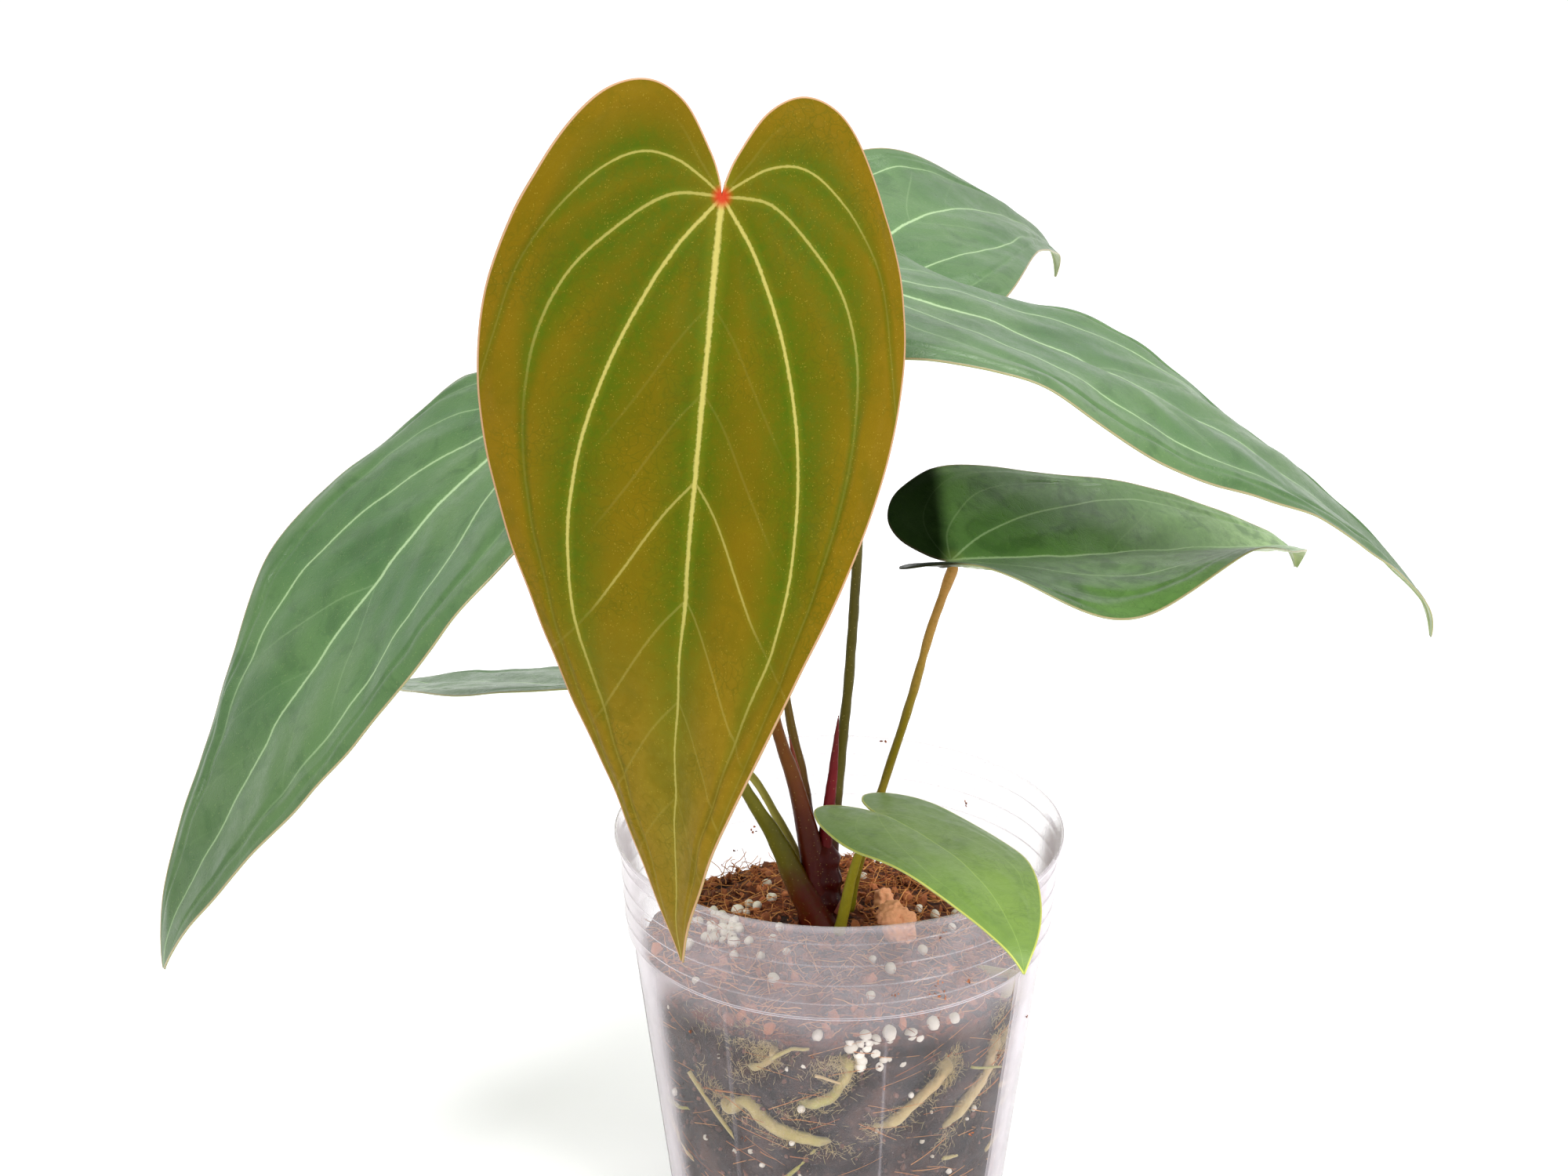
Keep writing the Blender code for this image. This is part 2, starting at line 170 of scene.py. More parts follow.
def newMaterial(name):
    material = bpy.data.materials.new(name)
    material.use_nodes = True
    return material, material.node_tree, material.node_tree.nodes["Principled BSDF"]


def srgb(red, green, blue):
    # a colour as seen on screen, 0 to 255, as the linear values that shaders take
    linear = []
    for value in (red, green, blue):
        value /= 255
        linear.append(value / 12.92 if value <= 0.04045 else ((value + 0.055) / 1.055) ** 2.4)
    return (*linear, 1.0)


def addNode(tree, kind, **settings):
    node = tree.nodes.new(kind)
    for key, value in settings.items():
        if hasattr(node, key):
            setattr(node, key, value)
        else:
            node.inputs[key].default_value = value
    return node


def attributeOut(tree, name, socket="Fac"):
    return addNode(tree, "ShaderNodeAttribute", attribute_name=name).outputs[socket]


def mathOut(tree, operation, first, second=None, third=None, clamp=False):
    node = addNode(tree, "ShaderNodeMath", operation=operation, use_clamp=clamp)
    for index, value in enumerate((first, second, third)):
        if value is None:
            continue
        if isinstance(value, (int, float)):
            node.inputs[index].default_value = value
        else:
            tree.links.new(value, node.inputs[index])
    return node.outputs[0]


def rangeOut(tree, value, fromLow, fromHigh, toLow, toHigh, smooth=True):
    node = addNode(tree, "ShaderNodeMapRange", interpolation_type="SMOOTHSTEP" if smooth else "LINEAR")
    tree.links.new(value, node.inputs["Value"])
    for key, number in (("From Min", fromLow), ("From Max", fromHigh), ("To Min", toLow), ("To Max", toHigh)):
        node.inputs[key].default_value = number
    return node.outputs[0]


def mixOut(tree, amount, first, second, blend="MIX"):
    node = addNode(tree, "ShaderNodeMix", data_type="RGBA", blend_type=blend)
    for socket, value in ((node.inputs[0], amount), (node.inputs[6], first), (node.inputs[7], second)):
        if isinstance(value, (int, float, tuple)):
            socket.default_value = value
        else:
            tree.links.new(value, socket)
    return node.outputs[2]


def noiseOut(tree, where, scale, detail=4.0, roughness=0.55, distortion=0.0):
    node = addNode(tree, "ShaderNodeTexNoise")
    tree.links.new(where, node.inputs["Vector"])
    settings = {"Scale": scale, "Detail": detail, "Roughness": roughness, "Distortion": distortion}
    for key, number in settings.items():
        node.inputs[key].default_value = number
    return node.outputs["Fac"]


def wanderOut(tree, where):
    # a soft wandering offset that keeps cells from looking ruled
    node = addNode(tree, "ShaderNodeTexNoise")
    tree.links.new(where, node.inputs["Vector"])
    node.inputs["Scale"].default_value = 160
    node.inputs["Detail"].default_value = 2
    return node.outputs["Color"]


def cellOut(tree, where, scale, feature="F1", socket="Distance", randomness=1.0):
    node = addNode(tree, "ShaderNodeTexVoronoi", feature=feature)
    tree.links.new(where, node.inputs["Vector"])
    node.inputs["Scale"].default_value = scale
    node.inputs["Randomness"].default_value = randomness
    return node.outputs[socket]


def bumpInto(tree, shader, height, strength, distance):
    bump = addNode(tree, "ShaderNodeBump")
    bump.inputs["Strength"].default_value = strength
    bump.inputs["Distance"].default_value = distance
    tree.links.new(height, bump.inputs["Height"])
    tree.links.new(bump.outputs["Normal"], shader.inputs["Normal"])


def objectPlace(tree):
    return addNode(tree, "ShaderNodeTexCoord").outputs["Object"]


# stage

stage = {"floorSize": 60.0, "floorColour": (0.86, 0.86, 0.86, 1), "floorGlow": 0.22, "skyStrength": 0.82,
         "cameraPlace": (-0.0147, -0.759, 0.469), "cameraDown": 21, "lens": 72, "sensor": 36}

deselectAll()
bpy.ops.mesh.primitive_plane_add(size=stage["floorSize"], location=(0, 0, -0.0004))
floor = bpy.context.object
floor.name = "floor"
floorMaterial, _, floorShader = newMaterial("palePaper")
floorShader.inputs["Base Color"].default_value = stage["floorColour"]
floorShader.inputs["Roughness"].default_value = 0.9
floorShader.inputs["Emission Color"].default_value = (1, 1, 1, 1)
floorShader.inputs["Emission Strength"].default_value = stage["floorGlow"]
floor.data.materials.append(floorMaterial)

world = bpy.data.worlds.new("softRoom")
world.use_nodes = True
bpy.context.scene.world = world
world.node_tree.nodes["Background"].inputs["Color"].default_value = (1, 1, 1, 1)
world.node_tree.nodes["Background"].inputs["Strength"].default_value = stage["skyStrength"]
bpy.context.scene.view_settings.view_transform = "Standard"


def addLamp(name, place, aim, size, power):
    deselectAll()
    bpy.ops.object.light_add(type="AREA", location=place)
    lamp = bpy.context.object
    lamp.name = name
    lamp.data.shape = "DISK"
    lamp.data.size = size
    lamp.data.energy = power
    lamp.rotation_euler = (Vector(aim) - Vector(place)).to_track_quat("-Z", "Y").to_euler()


addLamp("keyLamp", (-0.9, -1.0, 1.5), (0, 0, 0.18), 0.5, 15)
addLamp("topLamp", (0.5, 0.35, 1.6), (0, 0, 0.15), 0.9, 14)
addLamp("fillLamp", (1.1, -1.2, 0.9), (0, 0, 0.18), 0.6, 14)

deselectAll()
bpy.ops.object.camera_add(location=stage["cameraPlace"],
                          rotation=(math.radians(90 - stage["cameraDown"]), 0, 0))
camera = bpy.context.object
camera.data.lens = stage["lens"]
camera.data.sensor_width = stage["sensor"]
camera.data.clip_start = 0.01
bpy.context.scene.camera = camera
print("stage ready")


# leaf blades

# half outline of a blade of length 1: sideways, and along the midrib from the stalk's joint to the tip
halfOutline = [
    (0.000, -0.010), (0.018, -0.055), (0.060, -0.115), (0.115, -0.140), (0.175, -0.118),
    (0.225, -0.050), (0.262, 0.040), (0.280, 0.150), (0.272, 0.280), (0.242, 0.420),
    (0.192, 0.570), (0.132, 0.720), (0.070, 0.860), (0.028, 0.945), (0.000, 1.000)]

# the veins of a half blade in the same measure, each with its half width in mm at its start and
# end on a blade 190 mm long, and where along it starts to fade and has faded
veinPlan = {
    "veinInner": dict(width=(0.46, 0.26), bright=(0.44, 0.72), course=[
        (0, 0), (0.055, 0.07), (0.10, 0.16), (0.13, 0.25), (0.148, 0.34), (0.155, 0.44), (0.147, 0.53),
        (0.120, 0.62), (0.083, 0.75), (0.04, 0.88), (0.0, 1.02)]),
    "veinOuter": dict(width=(0.38, 0.2), bright=(0.15, 0.38), course=[
        (0, 0), (0.07, 0.005), (0.135, 0.05), (0.18, 0.10), (0.205, 0.16), (0.216, 0.23), (0.214, 0.34),
        (0.192, 0.47), (0.152, 0.62), (0.095, 0.79), (0.03, 0.97)]),
    "veinLobe": dict(width=(0.34, 0.18), bright=(0.26, 0.56), course=[
        (0, 0), (0.03, -0.022), (0.068, -0.042), (0.115, -0.046), (0.162, -0.022), (0.21, 0.03),
        (0.245, 0.10), (0.262, 0.19), (0.290, 0.33)]),
    "veinBase": dict(width=(0.35, 0.16), bright=(0.10, 0.32), course=[
        (0, 0), (0.035, -0.045), (0.066, -0.086), (0.105, -0.108), (0.150, -0.098), (0.20, -0.06),
        (0.25, 0.02), (0.31, 0.10)]),
}
midribWidth = (0.90, 0.24)
sideVeinWidth = 0.30
# pairs that leave the midrib: where they start, how strong they are
sideVeins = [(0.13, 0.10), (0.24, 0.14), (0.35, 1.0), (0.50, 0.36), (0.63, 0.24), (0.76, 0.16)]

# each blade in mm and degrees: its joint with the stalk, the heading of its midrib and how far that turns,
# pitch and roll at the joint and at the tip, how early it droops, how much the tip curls; then, left and
# right, its width, the lift of the half blades, their cupping, and their ruffles (height, waves, phase)
bladeDesigns = {
    "blade_front": dict(
        joint=(-29, -59, 296), heading=-106, turn=-35, pitch=(-72, -94), droop=1.15, tipCurl=0,
        roll=(37, -14), length=188, width=(0.87, 1.0), lobe=0.93, lift=(6, 9),
        cupLeft=(43, 34), cupRight=(33, 36), ruffleLeft=(0.5, 1.49, 150), ruffleRight=(-1, 1.38, 285),
        columns=150, rows=220),
    "blade_left": dict(
        joint=(-75, 8, 221), heading=213, turn=-9, pitch=(0, -63), droop=0.31, tipCurl=8,
        roll=(-4, 7), length=177, width=(1.03, 1.04), lobe=1.0, lift=(5, 6),
        cupLeft=(20, 37), cupRight=(19, 36), ruffleLeft=(3, 1.14, 340), ruffleRight=(-3, 1.72, 0),
        columns=120, rows=180),
    "blade_back_left": dict(
        joint=(-49, 28, 139), heading=144, turn=-18, pitch=(-14, -19), droop=1.18, tipCurl=5,
        roll=(-15, -6), length=132, width=(1.0, 1.0), lobe=1.0, lift=(3, 7),
        cupLeft=(20, 20), cupRight=(20, 20), ruffleLeft=(-0.5, 1.62, 245), ruffleRight=(-0.5, 1.6, 85),
        columns=100, rows=150),
    "blade_back_right": dict(
        joint=(0, 59, 239), heading=69, turn=-25, pitch=(20, -41), droop=1.13, tipCurl=23,
        roll=(-12, -29), length=142, width=(1.0, 1.0), lobe=1.0, lift=(6, 4),
        cupLeft=(29, 35), cupRight=(31, 34), ruffleLeft=(-4.5, 1.78, 260), ruffleRight=(0, 1.59, 140),
        columns=110, rows=160),
    "blade_right": dict(
        joint=(2, -2, 260), heading=-4, turn=6, pitch=(-13, -49), droop=1.06, tipCurl=12,
        roll=(2, 1), length=184, width=(1.01, 1.03), lobe=1.0, lift=(5, 5),
        cupLeft=(61, 42), cupRight=(65, 44), ruffleLeft=(2.5, 2.12, 125), ruffleRight=(4.5, 1.64, 325),
        columns=120, rows=180),
    "blade_mid_right": dict(
        joint=(28, -7, 188), heading=10, turn=47, pitch=(-2, -18), droop=1.16, tipCurl=23,
        roll=(7, 5), length=128, width=(1.02, 1.04), lobe=0.86, lift=(35, 5),
        cupLeft=(33, 36), cupRight=(31, 33), ruffleLeft=(1.5, 1.31, 120), ruffleRight=(6.5, 1.52, 130),
        columns=110, rows=160, shade=0.93),
    "blade_small": dict(
        joint=(9, -27, 126), heading=-45, turn=-40, pitch=(2, -14), droop=1.16, tipCurl=11,
        roll=(10, 8), length=81, width=(0.98, 1.02), lobe=1.0, lift=(3, 4),
        cupLeft=(32, 35), cupRight=(40, 37), ruffleLeft=(-1, 1.61, 320), ruffleRight=(0.5, 1.61, 165),
        columns=90, rows=130),
}
fullLength = 190  # the blade length that vein widths and the relief are given for
bladeThickness = 0.42
midribSteps = 80


def bladeDirection(design, along):
    share = np.clip(along, 0, 1)
    pitch = between(design["pitch"], share ** design["droop"])
    pitch = pitch - 3 * design["tipCurl"] * np.clip((share - 0.88) / 0.12, 0, 1) ** 1.5
    heading = np.radians(design["heading"] + design["turn"] * np.maximum(along, -0.2))
    pitch = np.radians(pitch)
    level = np.cos(pitch)
    direction = np.stack([level * np.cos(heading), level * np.sin(heading), np.sin(pitch)], -1)
    return direction, heading


def bladeAxes(design, along):
    direction, heading = bladeDirection(design, along)
    side = np.stack([np.sin(heading), -np.cos(heading), 0 * heading], -1)
    up = np.cross(side, direction)
    roll = np.radians(between(design["roll"], np.clip(along, 0, 1)))[..., None]
    return side * np.cos(roll) + up * np.sin(roll), up * np.cos(roll) - side * np.sin(roll)


def bladePoints(design, sideways, along):
    # places in mm on the curved blade
    along = np.where(along < 0, along * design["lobe"], along)
    steps = (np.arange(midribSteps) + 0.5) / midribSteps
    legs = bladeDirection(design, steps)[0] * design["length"] / midribSteps
    midrib = np.vstack([[0, 0, 0], np.cumsum(legs, axis=0)]) + np.array(design["joint"])
    onRib = np.linspace(0, 1, midribSteps + 1)
    rib = np.stack([np.interp(np.clip(along, 0, 1), onRib, midrib[:, axis]) for axis in range(3)], -1)
    rib = rib + np.minimum(along, 0)[..., None] * design["length"] * bladeDirection(design, np.zeros(1))[0][0]
    right = sideways > 0
    share = np.clip(along, 0, 1)
    cup = np.where(right, between(design["cupRight"], share), between(design["cupLeft"], share))
    reach = np.abs(sideways) * np.where(right, design["width"][1], design["width"][0])
    lift = np.radians(np.where(right, design["lift"][1], design["lift"][0]))
    bend = -np.radians(cup)
    across = (np.sin(lift + bend * reach) - np.sin(lift)) / bend
    rise = (np.cos(lift) - np.cos(lift + bend * reach)) / bend * design["length"]
    for key, here in (("ruffleRight", right), ("ruffleLeft", ~right)):
        height, waves, phase = design[key]
        wave = height * np.sin(2 * np.pi * waves * along + math.radians(phase)) * (reach / 0.25) ** 2
        rise = rise + np.where(here, wave, 0)
    side, up = bladeAxes(design, along)
    return rib + side * (np.sign(sideways) * across * design["length"])[..., None] + up * rise[..., None]


def nearestOnCourse(points, course):
    # distance from each point to a course, the side it lies on (+1 outside) and how far along
    starts, ends = course[:-1], course[1:]
    legs = ends - starts
    lengths = np.linalg.norm(legs, axis=1)
    travelled = np.concatenate([[0], np.cumsum(lengths)])
    best = np.full(len(points), 1e9)
    side = np.ones(len(points))
    place = np.zeros(len(points))
    for start, leg, length, before in zip(starts, legs, lengths, travelled):
        share = np.clip(((points - start) @ leg) / length ** 2, 0, 1)
        offset = points - start - share[:, None] * leg
        distance = np.linalg.norm(offset, axis=1)
        closer = distance < best
        cross = leg[0] * offset[:, 1] - leg[1] * offset[:, 0]
        best = np.where(closer, distance, best)
        side = np.where(closer, np.where(cross > 0, -1.0, 1.0), side)
        place = np.where(closer, (before + share * length) / travelled[-1], place)
    return best, side, place


def sideVeinCourse(start):
    # from the midrib out past the margin, bending towards the tip
    return smoothCurve([(0, start), (0.036, start + 0.045), (0.085, start + 0.125), (0.13, start + 0.19),
                        (0.19, start + 0.25), (0.30, start + 0.33)], 6)


def veinFields(flat, length):
    # signed distances over vein widths, so that a vein is where a field is within 1 of 0
    half = np.stack([np.abs(flat[:, 0]), flat[:, 1]], -1)
    scale = (length / fullLength) ** 0.35  # side veins lie closer together on a small blade
    fields = {}
    ribTaper = between(midribWidth, np.clip(half[:, 1], 0, 1) ** 0.7)
    fields["veinMid"] = flat[:, 0] * fullLength / ribTaper
    nearest = half[:, 0] * length
    for name, plan in veinPlan.items():
        course = smoothCurve(plan["course"], 7)
        distance, side, place = nearestOnCourse(half, course)
        width = between(plan["width"], place)
        fade = 1 - 0.88 * smoothStep(*plan["bright"], place)
        fields[name] = side * distance * fullLength / width
        fields[name + "Fade"] = fade
        if name != "veinBase":
            nearest = np.minimum(nearest, distance * length / np.maximum(fade, 0.15))
    sideDistance = np.full(len(half), 1e9)
    strength = np.zeros(len(half))
    crossed = np.zeros(len(half))
    for start, bright in sideVeins:
        distance, side, place = nearestOnCourse(half, sideVeinCourse(start))
        closer = distance < sideDistance
        sideDistance = np.where(closer, distance, sideDistance)
        strength = np.where(closer, bright * (1 - 0.85 * smoothStep(0.36, 0.52, place)), strength)
        crossed += side < 0
    fields["veinSide"] = np.where(crossed % 2 == 0, 1, -1) * sideDistance * fullLength / sideVeinWidth
    fields["veinSideFade"] = strength
    return fields, nearest, sideDistance * length * scale


def makeBlade(name, design):
    columns, rows = design["columns"], design["rows"]
    blade, across, down = addGrid(name + "_surface", columns, rows)
    outline = evenCurve(smoothCurve(halfOutline, 10), 400)
    reach = np.abs(2 * across - 1)
    spoke = 0.006 + 0.990 * down
    onOutline = np.linspace(0, 1, 400)
    margin = np.stack([np.interp(spoke, onOutline, outline[:, axis]) for axis in (0, 1)], -1)
    onRib = 0.992 * down ** 1.45
    sideways = margin[:, 0] * reach * np.sign(across - 0.5)
    along = onRib + (margin[:, 1] - onRib) * reach
    flat = np.stack([sideways, along], -1)
    length = design["length"]

    fields, nearest, sideNearest = veinFields(flat, length)
    edge = nearestOnCourse(np.stack([np.abs(sideways), along], -1), outline)[0] * length
    seed = len(name) * 3.1 + length
    flatMm = np.stack([sideways * length, along * length, 0 * along + seed], -1)
    quilt = 0.8 * (1 - np.exp(-(nearest / 7.0) ** 2)) + 0.4 * (1 - np.exp(-(sideNearest / 4.0) ** 2))
    quilt += 1.2 * noiseAt(flatMm, 24.0) + 0.4 * noiseAt(flatMm, 9.0, 4.0)
    relief = length / fullLength
    quilt *= relief * smoothStep(0.0, 5.0, edge)
    quilt += relief * 0.9 * noiseAt(flatMm * [0.6, 1, 1], 15.0, 8.0) * smoothStep(16.0, 0.0, edge)
    places = bladePoints(design, sideways, along)
    aheadSide = bladePoints(design, sideways + 0.002, along) - bladePoints(design, sideways - 0.002, along)
    aheadAlong = bladePoints(design, sideways, along + 0.002) - bladePoints(design, sideways, along - 0.002)
    normals = np.cross(aheadSide, aheadAlong)
    normals /= np.linalg.norm(normals, axis=1, keepdims=True) + 1e-12
    facing = np.sign(np.sum(normals * bladeAxes(design, np.clip(along, 0, 1))[1], axis=1).mean())
    normals *= facing
    top = places + normals * quilt[:, None]

    setVertexPlaces(blade, top * mm)
    setVectorAttribute(blade, "flat", flatMm * mm)
    for key, values in fields.items():
        setFloatAttribute(blade, key, np.clip(values, -60, 60))
    setFloatAttribute(blade, "edge", edge)
    setFloatAttribute(blade, "fromRib", np.clip(nearest, 0, 40))
    setFloatAttribute(blade, "under", np.zeros(len(flat)))
    setFloatAttribute(blade, "down", along)
    # painted shade: on a blade with a shade value (only blade_mid_right) the lobes behind the joint are
    # darkened in the colour, for the deep shade they curl into
    behindJoint = smoothStep(0.02, -0.03, along + 0.12 * sideways)
    setFloatAttribute(blade, "shade", design.get("shade", 0) * behindJoint)
    # the sheet's own normals have to point the way the blade's upper side does
    polygon = blade.data.polygons[len(blade.data.polygons) // 2]
    if polygon.normal.dot(Vector(normals[polygon.vertices[0]])) < 0:
        blade.data.flip_normals()

    thicken(blade, bladeThickness)
    # the second half of the vertices is the underside, where the veins stand out as ribs
    count = len(flat)
    places = vertexPlaces(blade)
    ribs = np.zeros(count)
    for key in ("veinMid", "veinInner", "veinOuter", "veinLobe"):
        fade = fields.get(key + "Fade", 1.0)
        height = 1.0 if key == "veinMid" else 0.62
        ribs = np.maximum(ribs, np.exp(-(fields[key] / 1.9) ** 2) * fade * height)
    ribs *= smoothStep(0.0, 2.0, edge) * (1 - 0.6 * np.clip(along, 0, 1))
    places[count:] -= normals * (ribs * 0.9 * relief)[:, None] * mm
    setVertexPlaces(blade, places)
    setFloatAttribute(blade, "under", np.repeat([0.0, 1.0], count))
    smoothShade(blade)
    return blade


def bladeMaterial(name, look):
    material, tree, shader = newMaterial(name)
    flat = attributeOut(tree, "flat", "Vector")
    edge = attributeOut(tree, "edge")
    fromRib = attributeOut(tree, "fromRib")
    under = attributeOut(tree, "under")
    down = attributeOut(tree, "down")
    broad = noiseOut(tree, flat, 28, 3, 0.5)
    fine = noiseOut(tree, flat, 420, 5, 0.65)
    pores = noiseOut(tree, flat, 2600, 2, 0.6)

    colour = mixOut(tree, rangeOut(tree, broad, 0.34, 0.66, 0, 1), look["deep"], look["main"])
    glow = rangeOut(tree, fromRib, 0, 13, look["nearRib"], 0)
    colour = mixOut(tree, glow, colour, look["ribside"])
    colour = mixOut(tree, rangeOut(tree, down, 0.42, 0.95, 0, look["tip"]), colour, look["tipColour"])
    rim = rangeOut(tree, edge, 0, 16, look["nearEdge"], 0)
    colour = mixOut(tree, rim, colour, look["edgeside"])
    colour = mixOut(tree, rangeOut(tree, fine, 0.35, 0.7, 0.0, 0.35), colour, look["mottle"])
    # painted shade: darker patches between the veins stand in for the shade of the quilted puckers
    puckerShade = noiseOut(tree, flat, 105, 3, 0.6, 0.8)
    colour = mixOut(tree, rangeOut(tree, puckerShade, 0.48, 0.70, 0, look["puckerShade"]), colour, look["puckerShadeColour"])
    # the fine net between the veins
    warped = mixOut(tree, 0.012, flat, wanderOut(tree, flat))
    net = rangeOut(tree, cellOut(tree, warped, 330, "DISTANCE_TO_EDGE"), 0.0, 0.09, 1, 0)
    netPatch = rangeOut(tree, noiseOut(tree, flat, 60, 2), 0.42, 0.62, 0, look["net"])
    colour = mixOut(tree, mathOut(tree, "MULTIPLY", net, netPatch), colour, look["netColour"])
    # painted glints: small bright specks that stand in for the sparkle of the velvet
    glintCells = rangeOut(tree, cellOut(tree, flat, 1500), 0.10, 0.26, 1, 0)
    glintMask = rangeOut(tree, noiseOut(tree, flat, 700, 1), 0.44, 0.62, 0, look["glintAmount"])
    colour = mixOut(tree, mathOut(tree, "MULTIPLY", glintCells, glintMask), colour, look["glintColour"])

    veins = None
    halo = None
    for key in ("veinMid", "veinInner", "veinOuter", "veinLobe", "veinBase", "veinSide"):
        field = mathOut(tree, "ABSOLUTE", attributeOut(tree, key))
        wobble = mathOut(tree, "MULTIPLY_ADD", noiseOut(tree, flat, 900, 3, 0.7), 1.5, 0.25)
        line = rangeOut(tree, mathOut(tree, "MULTIPLY", field, wobble), 0.45, 1.45, 1, 0)
        soft = rangeOut(tree, field, 0.5, 5.5, 1, 0)
        if key == "veinMid":
            fade = rangeOut(tree, down, 0.15, 1.0, look["strengths"][key], look["strengths"][key] * 0.45)
        else:
            fade = mathOut(tree, "MULTIPLY", attributeOut(tree, key + "Fade"), look["strengths"][key])
        line = mathOut(tree, "MULTIPLY", line, fade)
        soft = mathOut(tree, "MULTIPLY", soft, fade)
        veins = line if veins is None else mathOut(tree, "MAXIMUM", veins, line)
        halo = soft if halo is None else mathOut(tree, "MAXIMUM", halo, soft)
    colour = mixOut(tree, mathOut(tree, "MULTIPLY", halo, look["halo"]), colour, look["haloColour"])
    colour = mixOut(tree, mathOut(tree, "MULTIPLY", veins, look["veins"]), colour, look["veinColour"])
    line = rangeOut(tree, edge, look["edgeLine"] * 0.5, look["edgeLine"], look["edgeLineAmount"], 0)
    colour = mixOut(tree, line, colour, look["edgeColour"])
    # the joint with the stalk
    fromJoint = addNode(tree, "ShaderNodeVectorMath", operation="LENGTH")
    flattened = addNode(tree, "ShaderNodeVectorMath", operation="MULTIPLY")
    flattened.inputs[1].default_value = (1, 1, 0)
    tree.links.new(flat, flattened.inputs[0])
    tree.links.new(flattened.outputs[0], fromJoint.inputs[0])
    spotSize = look["spotSize"]
    spot = rangeOut(tree, fromJoint.outputs["Value"], spotSize * 0.25, spotSize, look["spot"], 0)
    colour = mixOut(tree, spot, colour, look["spotColour"])
    below = mixOut(tree, mathOut(tree, "MULTIPLY", veins, 0.75), look["underside"], look["undersideVein"])
    below = mixOut(tree, rangeOut(tree, fine, 0.3, 0.75, 0, 0.3), below, look["mottle"])
    colour = mixOut(tree, under, colour, below)
    # painted shade: the colour goes almost black where the shade attribute is set
    colour = mixOut(tree, attributeOut(tree, "shade"), colour, srgb(2, 10, 1))
    tree.links.new(colour, shader.inputs["Base Color"])

    rough = rangeOut(tree, fine, 0.3, 0.7, look["roughness"] - 0.06, look["roughness"] + 0.08)
    tree.links.new(rough, shader.inputs["Roughness"])
    shader.inputs["Sheen Roughness"].default_value = 0.45
    shader.inputs["Sheen Tint"].default_value = look["sheenTint"]
    # where the shade is painted, the gloss and sheen are taken away too
    lit = mathOut(tree, "SUBTRACT", 1.0, attributeOut(tree, "shade"))
    tree.links.new(mathOut(tree, "MULTIPLY", lit, look["specular"]), shader.inputs["Specular IOR Level"])
    tree.links.new(mathOut(tree, "MULTIPLY", lit, look["sheen"]), shader.inputs["Sheen Weight"])
    height = mathOut(tree, "MULTIPLY_ADD", veins, -0.5, mathOut(tree, "MULTIPLY", fine, 0.6))
    height = mathOut(tree, "MULTIPLY_ADD", pores, 0.35, height)
    height = mathOut(tree, "MULTIPLY_ADD", net, -0.15, height)
    bumpInto(tree, shader, height, 0.5, 0.00022)
    return material


greenLook = dict(
    puckerShade=0.6, puckerShadeColour=srgb(48, 84, 34),
    main=srgb(78, 112, 58), deep=srgb(48, 90, 36), ribside=srgb(74, 116, 58), nearRib=0.3,
    edgeside=srgb(82, 108, 66), nearEdge=0.25, mottle=srgb(72, 106, 54), net=0.22, netColour=srgb(54, 84, 38),
    tip=0.8, tipColour=srgb(58, 84, 44), glintAmount=0.25, glintColour=srgb(160, 176, 110), halo=0.18,
    haloColour=srgb(118, 156, 88), veins=0.9, veinColour=srgb(172, 200, 148),
    strengths=dict(veinMid=0.85, veinInner=0.62, veinOuter=0.3, veinLobe=0.34, veinBase=0.05, veinSide=0.12),
    edgeLine=0.5, edgeLineAmount=0.8, edgeColour=srgb(172, 150, 112),
    spotSize=0.005, spot=0.3, spotColour=srgb(150, 170, 80), underside=srgb(140, 156, 96),
    undersideVein=srgb(170, 176, 112), roughness=0.33, sheen=0.08, sheenTint=(0.9, 1.0, 0.92, 1),
    specular=0.5)
bronzeLook = dict(
    puckerShade=0.35, puckerShadeColour=srgb(88, 82, 0),
    main=srgb(112, 92, 2), deep=srgb(96, 86, 0), ribside=srgb(66, 86, 0), nearRib=1.0,
    edgeside=srgb(118, 88, 4), nearEdge=0.45, mottle=srgb(104, 84, 2), net=0.4, netColour=srgb(74, 76, 0),
    tip=0.85, tipColour=srgb(136, 112, 30), glintAmount=0.34, glintColour=srgb(180, 158, 60), halo=0.3,
    haloColour=srgb(124, 124, 24), veins=0.85, veinColour=srgb(188, 176, 96),
    strengths=dict(veinMid=1.0, veinInner=0.85, veinOuter=0.6, veinLobe=0.62, veinBase=0.06, veinSide=0.46),
    edgeLine=0.55, edgeLineAmount=0.9, edgeColour=srgb(190, 150, 116),
    spotSize=0.0036, spot=0.95, spotColour=srgb(176, 44, 24), underside=srgb(150, 140, 84),
    undersideVein=srgb(182, 170, 112), roughness=0.55, sheen=0.0, sheenTint=(1.0, 0.95, 0.7, 1),
    specular=0.06)
smallLook = dict(greenLook, main=srgb(126, 156, 70), deep=srgb(104, 138, 58), ribside=srgb(132, 158, 80),
                 mottle=srgb(112, 142, 66), puckerShade=0.2, tip=0.5, tipColour=srgb(122, 152, 50),
                 edgeColour=srgb(190, 194, 90), edgeLineAmount=1.0, veinColour=srgb(158, 184, 92),
                 glintAmount=0.15, roughness=0.42, specular=0.4,
                 strengths=dict(veinMid=0.75, veinInner=0.3, veinOuter=0.16, veinLobe=0.12, veinBase=0.03,
                                veinSide=0.08))

midLook = dict(greenLook, main=srgb(110, 150, 80), deep=srgb(82, 124, 54), tip=0.85,
               tipColour=srgb(156, 184, 126))

